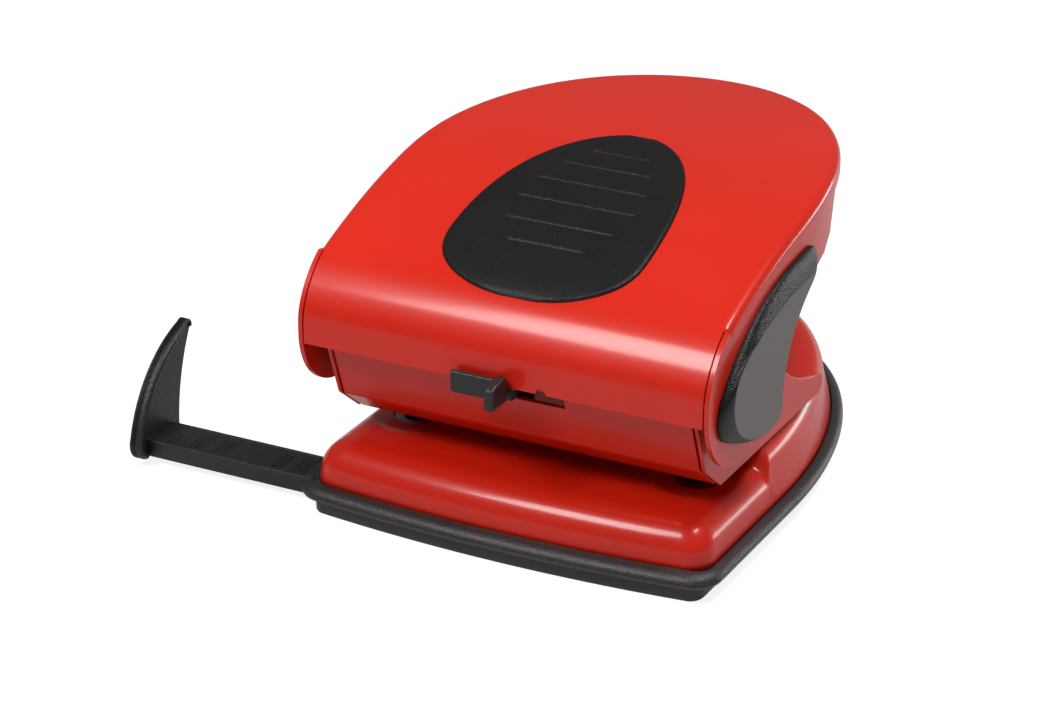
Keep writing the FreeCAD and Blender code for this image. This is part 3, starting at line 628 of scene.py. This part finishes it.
top = (wall_y(WALL_TOP), WALL_TOP)
section = [top, (wall_y(48.0), 48.0), (wall_y(SLOT_Z[1]), SLOT_Z[1]), (wall_y(SLOT_Z[0]), SLOT_Z[0]),
           (wall_y(36.0), 36.0)]
section += bend(top, LEAD, (FLOOR_FRONT, FRAME_FOOT), 2.2)
section += bend(LEAD, (FLOOR_FRONT, FRAME_FOOT), (0.0, FRAME_FOOT), 2.0)
section += [(10.0, FRAME_FOOT), (30.0, FRAME_FOOT), (FLOOR_REAR, FRAME_FOOT)]
columns = [-WALL_HALF, -30.0, SLOT_X[0], 0.0, SLOT_X[1], 30.0, WALL_HALF]
wall_points = [(x, y, z) for y, z in section for x in columns]
slot_row = 2
wall_faces = []
for index, face in enumerate(grid_faces(len(section), len(columns))):
    row, column = divmod(index, len(columns) - 1)
    if row == slot_row and columns[column] >= SLOT_X[0] and columns[column + 1] <= SLOT_X[1]:
        continue
    wall_faces.append(face)
front_wall = piece("frame_wall", wall_points, wall_faces, "base", "punch_frame",
                   red_lacquer, 20.0)
sheet_metal(front_wall, SHEET)
rounded(front_wall, 0.25, 2, 60.0)
PIN_HOLE_R = 3.1
for side in (-1, 1):
    cut_round(front_wall, side * HOLE_X, 0.0, (FRAME_FOOT - 2, FRAME_FOOT + 3), PIN_HOLE_R)


def arc_points(a, via, b, steps):
    """Points on the circle through three (y, z) points, without the first."""
    (ax, ay), (bx, by), (cx, cy) = a, via, b
    d = 2 * (ax * (by - cy) + bx * (cy - ay) + cx * (ay - by))
    aa, bb, cc = ax ** 2 + ay ** 2, bx ** 2 + by ** 2, cx ** 2 + cy ** 2
    ux = (aa * (by - cy) + bb * (cy - ay) + cc * (ay - by)) / d
    uy = (aa * (cx - bx) + bb * (ax - cx) + cc * (bx - ax)) / d
    radius = math.hypot(ax - ux, ay - uy)
    start = math.atan2(ay - uy, ax - ux)
    middle = math.atan2(by - uy, bx - ux)
    end = math.atan2(cy - uy, cx - ux)
    ahead = (middle - start) % math.tau
    whole = (end - start) % math.tau
    turn = whole if ahead < whole else whole - math.tau
    angles = [start + turn * i / steps for i in range(1, steps + 1)]
    return [(ux + radius * math.cos(a), uy + radius * math.sin(a)) for a in angles]


def outline(steps, points_each=14):
    """A closed outline from (end,) lines and (via, end) arcs, as (y, z) points."""
    here = steps[-1][-1]
    found = []
    for step in steps:
        if len(step) == 1:
            found.append(step[0])
        else:
            found += arc_points(here, step[0], step[1], points_each)
        here = step[-1]
    return found


def plate_between(shape, x0, x1):
    """A flat plate of a (y, z) outline between two x values."""
    n = len(shape)
    points = [(x0, y, z) for y, z in shape] + [(x1, y, z) for y, z in shape]
    faces = [tuple(range(n)), tuple(range(2 * n - 1, n - 1, -1))]
    faces += [(i, (i + 1) % n, n + (i + 1) % n, n + i) for i in range(n)]
    return points, faces


PIVOT = (-18.0, 50.0)
cheek_shape = outline([
    ((FLOOR_REAR + 2.5, FRAME_FOOT),),
    ((51.2, 25.3), (FLOOR_REAR + 2.2, 29.0)),
    ((36.3, 32.4), (27.8, 37.3)),
    ((4.0, 53.0),),
    ((PIVOT[0] + 5.8, PIVOT[1] + 7.7),),
    ((PIVOT[0] - 5.8, PIVOT[1] + 7.7), (PIVOT[0] - 9.6, PIVOT[1])),
    (LEAD,),
    ((FLOOR_FRONT, FRAME_FOOT),),
])
CHEEK_X = (50.0, 51.2)
for name, side in (("left", -1), ("right", 1)):
    points, faces = plate_between(cheek_shape, side * CHEEK_X[0], side * CHEEK_X[1])
    cheek = piece("cheek_" + name, points, faces, "base", "punch_frame", red_lacquer, 30.0)
    rounded(cheek, 0.35, 3, 50.0)


# ---------------------------------------------------------------- lever
# The hand lever, drawn from one red steel sheet: a rolled front lip, a long crowned top, side skirts
# that end in round ears about the pivots, and a slit on each side between the lip and the ear.
HALF = 56.2
TAPER = 23.0
TAIL = 82.2
LIP = -30.7
LIP_BOTTOM = 47.0
LIP_STRAIGHT = 51.9
ARCS = ((13.9, 62.7), (24.5, 21.2), (201.7, 2.06), (464.0, -6.5))
FOLD_R = 2.6
SLIT_END = -18.6
SLIT_X = 54.6
EAR_R = 18.0
EAR_BOTTOM = 31.5
RIM_SKIRT = 4.4
NOTCH = (10.1, 10.9, 12.3, 13.1)


def profile_pieces():
    """Centres, radii and angles of the arcs that follow each other along the lever's top."""
    y, z, angle = LIP, LIP_STRAIGHT, math.pi / 2
    found = []
    for radius, end_deg in ARCS:
        end = math.radians(end_deg)
        cy = y + radius * math.sin(angle)
        cz = z - radius * math.cos(angle)
        found.append((cy, cz, radius, angle, end))
        y = cy - radius * math.sin(end)
        z = cz + radius * math.cos(end)
        angle = end
    return found


PROFILE = profile_pieces()


def lever_top(y):
    """Height of the lever's top at y."""
    for cy, cz, radius, start, end in PROFILE:
        if y <= cy - radius * math.sin(end) or radius == ARCS[-1][0]:
            return cz + math.sqrt(max(0.0, radius ** 2 - (cy - y) ** 2))
    return cz


def ear_rear(y):
    """Lower edge of the ear and skirt behind the flat bottom, rising to the rear rim."""
    low = outline([((5.0, EAR_BOTTOM),), ((13.0, 52.0), (30.0, 64.5)), ((38.0, 66.0),),
                   ((46.5, 70.5), (50.0, lever_top(50.0) - RIM_SKIRT))], 24)
    for (ay, az), (by, bz) in zip(low, low[1:]):
        if ay <= y <= by:
            return az + (bz - az) * (y - ay) / max(1e-6, by - ay)
    return lever_top(y) - RIM_SKIRT


def skirt_bottom(y):
    if y < LIP + EAR_R:
        return PIVOT[1] - 0.5 - math.sqrt(max(0.0, EAR_R ** 2 - (LIP + EAR_R - y) ** 2))
    if y <= 5.0:
        return EAR_BOTTOM
    return ear_rear(y)


side_y = [SLIT_END, -17.6, -16, -14, -12.7, -10, -6, -2, 2, 5.0,
          5.6, 6.3, 7.2, 8.4, 10, 12, 14.5, 17, 20, TAPER]
turns = [math.radians(4.0 * k) for k in range(1, 13)]
side_run = [(HALF, y) for y in side_y] + [(HALF * math.cos(t), TAPER + TAIL * math.sin(t)) for t in turns]
split = turns[-1]
ACROSS_HALF = 50.2
across = [-ACROSS_HALF + 2 * ACROSS_HALF * i / 60 for i in range(61)]
across = sorted(x for x in across if not NOTCH[0] - 0.5 < x < NOTCH[3] + 0.5)
across = sorted(across + list(NOTCH))
tail_count = len(across) - 1
lever_tail = [(HALF * math.cos(split + (math.pi - 2 * split) * i / tail_count),
               TAPER + TAIL * math.sin(split + (math.pi - 2 * split) * i / tail_count))
              for i in range(tail_count + 1)]
open_loop = side_run + lever_tail[1:] + [(-x, y) for x, y in reversed(side_run)][1:]


def open_normals(run):
    found = []
    for i in range(len(run)):
        ax, ay = run[max(0, i - 1)]
        bx, by = run[min(len(run) - 1, i + 1)]
        length = math.hypot(bx - ax, by - ay)
        found.append(((by - ay) / length, -(bx - ax) / length))
    return found


slit_turn = math.asin(1 - (HALF - SLIT_X) / FOLD_R)
fold = [0.0, slit_turn] + [math.radians(a) for a in (24, 36, 48, 60, 72, 82, 90)]
flat_insets = [6.0, 4.6, 3.4]
SKIRT_ROWS = 9
section_count = len(flat_insets) + len(fold) + SKIRT_ROWS
lever_points = []
for (x, y), (nx, ny) in zip(open_loop, open_normals(open_loop)):
    for inset in flat_insets:
        px, py = x - nx * inset, y - ny * inset
        lever_points.append((px, py, lever_top(py)))
    for turn in fold:
        inset = FOLD_R * (1 - math.sin(turn))
        px, py = x - nx * inset, y - ny * inset
        lever_points.append((px, py, lever_top(py) - FOLD_R * (1 - math.cos(turn))))
    start = lever_top(y) - FOLD_R
    low = skirt_bottom(y)
    for k in range(1, SKIRT_ROWS + 1):
        lever_points.append((x, y, start + (low - start) * k / SKIRT_ROWS))
stations = len(open_loop)
lever_faces = grid_faces(stations, section_count)

inner_edge = [lever_points[i * section_count][:2] for i in range(stations)]
side_n = len(side_run)
inner_right = inner_edge[:side_n]
inner_tail = inner_edge[side_n - 1:side_n + tail_count]
inner_left = inner_edge[side_n + tail_count - 1:]
front_row = [(x, SLIT_END) for x in across]
rows = patch(front_row, inner_right, inner_tail, inner_left, 0.1, 0.5)
for row in rows[:len(side_y)]:
    for j in range(len(across)):
        share = (across[j] + ACROSS_HALF) / (2 * ACROSS_HALF)
        row[j] = (row[0][0] + (row[-1][0] - row[0][0]) * share, row[j][1])
first = len(lever_points)
lever_points += [(x, y, lever_top(y)) for row in rows for x, y in row]
lever_faces += grid_faces(len(rows), len(across), first)

NOTCH_RISE = 1.5
LIP_STEPS = 14
lip_path = []
for cy, cz, radius, start, end in reversed(PROFILE[:2]):
    begin = end if lip_path else math.asin((cy - SLIT_END) / radius)
    for i in range(1 if lip_path else 0, LIP_STEPS + 1):
        angle = begin + (start - begin) * i / LIP_STEPS
        lip_path.append((cy - radius * math.sin(angle), cz + radius * math.cos(angle)))
lip_path += [(LIP, z) for z in (50.5, 49.2, LIP_BOTTOM + NOTCH_RISE, LIP_BOTTOM)]
edge_x = [HALF - i for i in flat_insets[1:]] + [HALF - FOLD_R, SLIT_X]
lip_x = [-x for x in reversed(edge_x)] + across + edge_x
slit_drop = FOLD_R * (1 - math.cos(slit_turn))
first = len(lever_points)
for row, (y, z) in enumerate(lip_path):
    for x in lip_x:
        lower = z
        if row == 0 and abs(x) > HALF - FOLD_R + 0.01:
            lower = z - slit_drop
        if row == len(lip_path) - 1 and x in NOTCH[1:3]:
            lower = LIP_BOTTOM + NOTCH_RISE - 0.01
        lever_points.append((x, y, lower))
lever_faces += grid_faces(len(lip_path), len(lip_x), first)

ear_count = 16
for side in (-1, 1):
    first = len(lever_points)
    for i in range(ear_count + 1):
        y = SLIT_END + (LIP - SLIT_END) * math.sin(i / ear_count * math.pi / 2)
        low = skirt_bottom(y)
        high = LIP_STRAIGHT if i == ear_count else lever_top(y)
        high -= FOLD_R * (1 - smooth(0.0, 0.6, SLIT_END - y))
        reach = HALF - SLIT_X if i == 0 else 0.0
        lever_points.append((side * (HALF - reach), y, high + (FOLD_R - slit_drop if i == 0 else 0.0)))
        for k in range(SKIRT_ROWS + 1):
            lever_points.append((side * HALF, y, high + (low - high) * k / SKIRT_ROWS))
    lever_faces += grid_faces(ear_count + 1, SKIRT_ROWS + 2, first)
lever = piece("lever_shell", lever_points, lever_faces, "lever_arm", "lever",
              red_lacquer, 50.0)
sheet_metal(lever, SHEET)
rounded(lever, 0.3, 3, 60.0)

# ---------------------------------------------------------------- palm pad
# A grained black plastic inlay clipped into the top of the lever, with a rounded edge and six short
# finger grooves across it.
PAD_HALF = 27.0
PAD_Y = -4.0
PAD_FRONT = 18.0
PAD_REAR = 54.0
PAD_PROUD = 0.9
soft_grip = grained_plastic("soft_grip", (0.004, 0.003, 0.0032), 0.44, 2300.0, 0.00016, 0.32)
GROOVES = ((-5.6, 10.1), (2.3, 14.3), (11.3, 15.9), (20.2, 14.9), (29.0, 11.9), (37.0, 7.9))


def pad_half(y):
    """Half width of the pad at y: a full oval in front, a longer narrower one behind."""
    if y < PAD_Y:
        return PAD_HALF * (1 - abs((y - PAD_Y) / PAD_FRONT) ** 2.4) ** (1 / 2.4)
    return PAD_HALF * (1 - ((y - PAD_Y) / PAD_REAR) ** 2.05) ** 0.52


def pad_rows():
    ys = [PAD_Y - PAD_FRONT * math.cos(math.pi / 2 * i / 26) for i in range(1, 27)]
    ys += [PAD_Y + PAD_REAR * math.sin(math.pi / 2 * i / 70) for i in range(1, 70)]
    for y, _ in GROOVES:
        ys = [v for v in ys if abs(v - y) > 0.75]
        ys += [y + d for d in (-0.7, -0.42, -0.24, -0.1, 0.0, 0.1, 0.24, 0.42, 0.7)]
    return sorted(ys)


def pad_height(x, y):
    half = pad_half(y)
    ahead = PAD_Y - PAD_FRONT
    edge = min(half - abs(x), (y - ahead) if y < PAD_Y else (PAD_Y + PAD_REAR - y))
    edge = max(0.0, edge)
    proud = PAD_PROUD * math.sqrt(1 - (1 - min(1.0, edge / 1.1)) ** 2)
    for groove_y, reach in GROOVES:
        across_groove = math.hypot(max(0.0, abs(x) - reach), y - groove_y)
        proud -= 0.34 * (1 - smooth(0.12, 0.46, across_groove))
    return lever_top(y) + proud


ts = [math.sin(math.pi / 2 * (i / 60)) for i in range(-60, 61)]
pad_points = []
ys = pad_rows()
for y in ys:
    for t in ts:
        x = t * pad_half(y)
        pad_points.append((x, y, pad_height(x, y)))
pad_faces = grid_faces(len(ys), len(ts))
piece("palm_pad", pad_points, pad_faces, "lever_arm", "lever_pad", soft_grip, 60.0)


# ---------------------------------------------------------------- side caps
# Leaf-shaped covers of the same plastic, one on each ear, that hide the pivot rivets. The flat face
# is matt and painted a pale grey as a painted reflection of the side light; a wide rounded band
# runs along its front and top.
cap_base = outline([
    ((-3.0, 68.3), (-25.0, 52.5)),
    ((-26.4, 45.5), (-18.8, 39.2)),
    ((-8.5, 35.2), (3.6, 34.8)),
    ((7.2, 36.4), (7.2, 41.0)),
    ((12.5, 55.0), (27.0, 66.2)),
    ((30.4, 69.4), (24.0, 72.8)),
], 24)
cap_face = outline([
    ((-3.0, 64.0), (-18.0, 58.6)),
    ((-22.4, 50.0), (-17.0, 40.2)),
    ((-7.6, 35.9), (3.4, 35.5)),
    ((6.6, 37.0), (6.5, 41.2)),
    ((11.9, 55.5), (25.6, 66.2)),
    ((25.2, 67.2), (23.0, 67.2)),
], 24)
CAP_BASE_X = 56.3
CAP_LEDGE_X = 56.8
CAP_FACE_X = 59.0


def softened(loop, rounds):
    """A closed outline with its corners eased by averaging each point with its neighbours."""
    for _ in range(rounds):
        triples = zip(loop[-1:] + loop[:-1], loop, loop[1:] + loop[:1])
        loop = [tuple(0.5 * c + 0.25 * (a + b) for a, c, b in zip(*triple)) for triple in triples]
    return loop


cap_base = softened(cap_base, 24)
cap_face = softened(cap_face, 24)


def matt_faced(name, band_color, face_sheen_color):
    """Black plastic that is polished on the rounded band and finely matt on the flat side face, whose pale
    grey is a painted reflection.
    """
    material, shader, start = finish(name, band_color, 0.36, specular=0.38)
    turned = start.node("ShaderNodeTexCoord", pick=1)
    sideways = turned.node("ShaderNodeSeparateXYZ", inputs={"Vector": turned})
    flat = (sideways * sideways).above(0.985, 0.012)
    fine = noise(start, 2300.0, 2.0, 0.55)
    # The flat face takes the pale colour: a painted reflection of the side light on black plastic.
    shade = flat.mix((*band_color, 1), (*face_sheen_color, 1))
    into(shader, "Base Color", shade)
    into(shader, "Roughness", 0.30 + flat * 0.24 + fine * 0.12)
    into(shader, "Normal", bump(fine * (1.0 - flat * 0.7), 0.0002))
    return material


def creased(obj):
    """Keeps a crease round the outermost face of a piece."""
    shape = bmesh.new()
    shape.from_mesh(obj.data)
    for edge in max(shape.faces, key=lambda face: abs(face.calc_center_median().x)).edges:
        edge.smooth = False
    shape.to_mesh(obj.data)
    shape.free()


# The pale grey face colour is a painted reflection; the caps themselves are black plastic all over.
cap_plastic = matt_faced("cap_plastic", (0.005, 0.004, 0.004), (0.150, 0.130, 0.127))
for name, side in (("left", -1), ("right", 1)):
    cap_points = []
    steps = 18
    for k in range(steps + 1):
        share = 1 - math.cos(math.pi / 2 * k / steps)
        crown = math.sin(math.pi / 2 * k / steps)
        depth = 0.35 * share + 0.65 * crown
        x = CAP_LEDGE_X + (CAP_FACE_X - CAP_LEDGE_X) * depth
        for (ay, az), (by, bz) in zip(cap_base, cap_face):
            cap_points.append((side * x, ay + (by - ay) * share, az + (bz - az) * share))
    base_ring = [(side * CAP_BASE_X, y, z) for y, z in cap_base]
    cap_points = base_ring + cap_points
    n = len(cap_base)
    cap_faces = ring_faces(steps + 2, n)
    cap_faces.append(tuple((steps + 1) * n + i for i in range(n)))
    cap_faces.append(tuple(range(n)))
    cap = piece("cap_" + name, cap_points, cap_faces, "lever_arm", "side_cap_" + name,
                cap_plastic, 60.0)
    creased(cap)


# ---------------------------------------------------------------- lock slide
# A small moulded slide in front of the lip: a flat bar, a finger tab, and a stem through the slot.
def box_shape(low, high):
    (x0, y0, z0), (x1, y1, z1) = low, high
    points = [(x, y, z) for x in (x0, x1) for y in (y0, y1) for z in (z0, z1)]
    faces = [(0, 1, 3, 2), (4, 6, 7, 5), (0, 4, 5, 1), (2, 3, 7, 6), (0, 2, 6, 4), (1, 5, 7, 3)]
    return points, faces


def together(shapes):
    points, faces = [], []
    for p, f in shapes:
        faces += [tuple(i + len(points) for i in face) for face in f]
        points += p
    return points, faces


stem_shape = [(-32.2, 44.2), (-28.4, 44.2), (-27.2, 41.6), (-20.6, 41.6), (-20.6, 44.9), (-26.3, 44.9),
              (-27.8, 46.2), (-32.2, 46.2)]
tab_shape = [(-39.4, 43.9), (-39.4, 49.2), (-37.6, 50.2), (-34.6, 50.5), (-31.75, 50.6), (-31.75, 43.9)]
lock_points, lock_faces = together([
    box_shape((-12.0, -33.4, 43.9), (2.0, -31.7, 49.7)),
    plate_between(tab_shape, 0.5, 3.2),
    box_shape((-0.9, -34.6, 44.3), (1.0, -32.6, 49.5)),
    plate_between(stem_shape, -9.8, 2.2)])
lock = piece("lock_knob", lock_points, lock_faces, "lock", "lock_slide",
             black_plastic, 30.0)
rounded(lock, 0.7, 4, 40.0)

# ---------------------------------------------------------------- paper guide
# A moulded rail that slides out of the tray on the left, with an upright stop at its end that the
# edge of the sheet meets. Size marks on the rail are plain ticks.
front_edge = [(-27.0, 1.8)] + arc_points((-27.0, 1.8), (-30.2, 4.0), (-30.4, 8.6), 8)
front_edge += arc_points((-30.4, 8.6), (-22.6, 22.6), (-6.0, 32.6), 28)
front_edge += arc_points((-6.0, 32.6), (-3.7, 32.7), (-3.2, 30.4), 10)
rear_edge = arc_points((-3.2, 30.4), (-8.4, 17.2), (-10.0, 6.4), 16) + [(-10.0, 1.8)]
stop_shape = front_edge + rear_edge
RIM_W = 1.9
stop_x = (-108.5, -106.3, -105.0)
rim_section = [(0.25, -108.3), (0.0, -107.9), (0.0, -106.2), (0.12, -105.6), (0.45, -105.15), (0.95, -105.0),
               (1.45, -105.15), (1.78, -105.6), (RIM_W, -106.2), (RIM_W, -107.0), (RIM_W, -107.9),
               (1.65, -108.3)]
rim_path = [front_edge[0]]
for p in front_edge[1:]:
    if math.dist(p, rim_path[-1]) > 0.25:
        rim_path.append(p)
rim_points = []
for (y, z), (ny, nz) in zip(rim_path, open_normals(rim_path)):
    thin = 1 - 0.5 * smooth(-12.0, -4.0, y)
    for w, x in rim_section:
        raised = stop_x[1] + (x - stop_x[1]) * thin if x > stop_x[1] else x
        rim_points.append((raised, y + ny * w * thin, z + nz * w * thin))
n = len(rim_section)
stop_rim_faces = [(i * n + k, (i + 1) * n + k, (i + 1) * n + (k + 1) % n, i * n + (k + 1) % n)
                  for i in range(len(rim_path) - 1) for k in range(n)]
stop_rim_faces += [tuple(range(n)), tuple((len(rim_path) - 1) * n + k for k in reversed(range(n)))]
RAIL_X = (-106.5, 6.0)
BORDER_W = 1.0
rail = box_shape((RAIL_X[0], RAIL_FRONT, RAIL_BOTTOM), (RAIL_X[1], RAIL_REAR, RAIL_TOP))
border = [box_shape((RAIL_X[0], y, RAIL_TOP - 0.4), (RAIL_X[1], y + BORDER_W, RAIL_TOP + 0.14))
          for y in (RAIL_FRONT, RAIL_REAR - BORDER_W)]
guide_points, guide_faces = together([
    rail, plate_between(stop_shape, stop_x[0], stop_x[1]), (rim_points, stop_rim_faces)] + border)
guide = piece("guide_rail", guide_points, guide_faces, "guide", "paper_guide",
              black_plastic, 38.0)
rounded(guide, 0.35, 3, 50.0)

# Raised size marks on the rail: a line across it for each sheet size, a row of short ticks beside
# each line, and the round witness marks that the mould's ejector pins leave.
SUNK = 0.1
LINE_HALF = 0.12
TICK_HALF = 0.5
marks = []
for line_x, rows_of_ticks in (
        (-91.4, (-94.6, -92.8)), (-84.0, (-87.2, -85.4)), (-60.2, (-69.4, -67.6, -63.4, -61.6))):
    marks.append(box_shape((line_x - LINE_HALF, RAIL_FRONT + 1.4, RAIL_TOP - SUNK),
                           (line_x + LINE_HALF, RAIL_REAR - 1.4, RAIL_TOP + 0.1)))
    for tick_x in rows_of_ticks:
        for k in range(5):
            tick_y = RAIL_FRONT + 2.3 + 1.55 * k
            marks.append(box_shape((tick_x - TICK_HALF, tick_y, RAIL_TOP - SUNK),
                                   (tick_x + TICK_HALF, tick_y + 0.75, RAIL_TOP + 0.16)))
RING_STEPS = 40
RING_Y = (RAIL_FRONT + RAIL_REAR) / 2
for pin_x in (-99.0, -55.0):
    ring = [(pin_x + r * math.cos(a), RING_Y + r * math.sin(a), z)
            for r, z in ((2.2, RAIL_TOP - SUNK), (2.1, RAIL_TOP + 0.1), (1.95, RAIL_TOP + 0.1),
                         (1.85, RAIL_TOP - SUNK))
            for a in (math.tau * k / RING_STEPS for k in range(RING_STEPS))]
    marks.append((ring, ring_faces(4, RING_STEPS)))
mark_points, mark_faces = together(marks)
piece("rail_marks", mark_points, mark_faces, "guide", "paper_guide", black_plastic, 30.0)

# ---------------------------------------------------------------- return springs
# A coil of drawn wire round each pin lifts the pin and the lever after a stroke.
spring_steel, wire_shader, wire_start = finish("spring_steel", (0.42, 0.42, 0.43), 0.3, metallic=1.0)
wire_grain = noise(wire_start, 2500.0, 3.0)
into(wire_shader, "Roughness", 0.22 + wire_grain * 0.16)
wire_tone = wire_grain.above(0.5, 0.4)
into(wire_shader, "Base Color", wire_tone.mix((0.34, 0.34, 0.35, 1), (0.50, 0.50, 0.51, 1)))
into(wire_shader, "Normal", bump(wire_grain, 0.00001))


def coil(x, low, high, radius, wire, turns_count):
    """Points and faces of a wire wound up a vertical axis with flat closed ends."""
    points, faces = [], []
    steps = turns_count * 28
    sides = 10
    for i in range(steps + 1):
        t = i / steps
        around = math.tau * turns_count * t
        pitch = smooth(0.0, 1.0, t)
        z = low + wire / 2 + (high - low - wire) * (0.25 * pitch + 0.75 * t)
        for k in range(sides):
            a = math.tau * k / sides
            r = radius + wire / 2 * math.cos(a)
            points.append((x + r * math.cos(around), r * math.sin(around), z + wire / 2 * math.sin(a)))
    for i in range(steps):
        for k in range(sides):
            j = (k + 1) % sides
            faces.append((i * sides + k, (i + 1) * sides + k, (i + 1) * sides + j, i * sides + j))
    faces.append(tuple(range(sides)))
    faces.append(tuple(steps * sides + k for k in reversed(range(sides))))
    return points, faces


for name, side in (("left", -1), ("right", 1)):
    low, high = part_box("return_spring_" + name)
    points, faces = coil(side * HOLE_X, low[2] / MM, high[2] / MM, 3.95, 0.85, 6)
    spring = piece("coil_" + name, points, faces, "base", "return_spring_" + name,
                   spring_steel, 60.0)
    length = high[2] - low[2]
    (length - 0.0070) / length
    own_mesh(spring)


# ---------------------------------------------------------------- steel parts
# Pins and dies are ground tool steel; the bridge, presser, rivets and washers are zinc plated.
def steel(name, color, roughness, streak, depth):
    """Bare or plated steel with fine grinding lines and a mottled tone."""
    material, shader, start = finish(name, color, roughness, metallic=1.0)
    place = place_of(start)
    stretched = start.node("ShaderNodeMapping", inputs={"Vector": place, "Scale": (1.0, 1.0, streak)})
    lines = start.node("ShaderNodeTexNoise", inputs={"Vector": stretched, "Scale": 900.0, "Detail": 3.0})
    mottle = noise(start, 240.0, 3.0)
    tone = (lines * 0.5 + mottle * 0.5).above(0.5, 0.5)
    dark = tuple(0.90 * c for c in color) + (1,)
    pale = tuple(min(1.0, 1.06 * c) for c in color) + (1,)
    into(shader, "Base Color", tone.mix(dark, pale))
    into(shader, "Roughness", roughness - 0.08 + lines * 0.14 + mottle * 0.06)
    into(shader, "Normal", bump(lines, depth))
    return material


# Ground tool steel whose grey is set darker than its own: partly painted shade for the dies under the lever.
tool_steel = steel("tool_steel", (0.40, 0.40, 0.41), 0.24, 6.0, 0.000003)
zinc_steel = steel("zinc_steel", (0.62, 0.62, 0.60), 0.36, 1.0, 0.00001)
# The near-black steel for the lock keeper is painted shade: it makes the slot behind the lock read dark.
slot_shade_steel = steel("slot_shade_steel", (0.045, 0.045, 0.05), 0.42, 1.0, 0.00001)


def dress(node, material):
    """Gives a CAD node its finished material."""
    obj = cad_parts[node]
    for material_slot in obj.material_slots:
        material_slot.link = "OBJECT"
        material_slot.material = material


for name in ("left", "right"):
    dress("punch_pin_" + name, tool_steel)
    dress("die_" + name, tool_steel)
    dress("spring_clip_" + name, spring_steel)
    dress("pivot_rivet_" + name, zinc_steel)
    dress("spacer_washer_" + name, zinc_steel)
for node in ("guide_bridge", "presser_bar", "frame_rivets", "bridge_rivets"):
    dress(node, zinc_steel)
# The keeper's near-black colour is painted shade for the slot behind the lock.
dress("lock_keeper", slot_shade_steel)
dress("guide_leaf_spring", spring_steel)
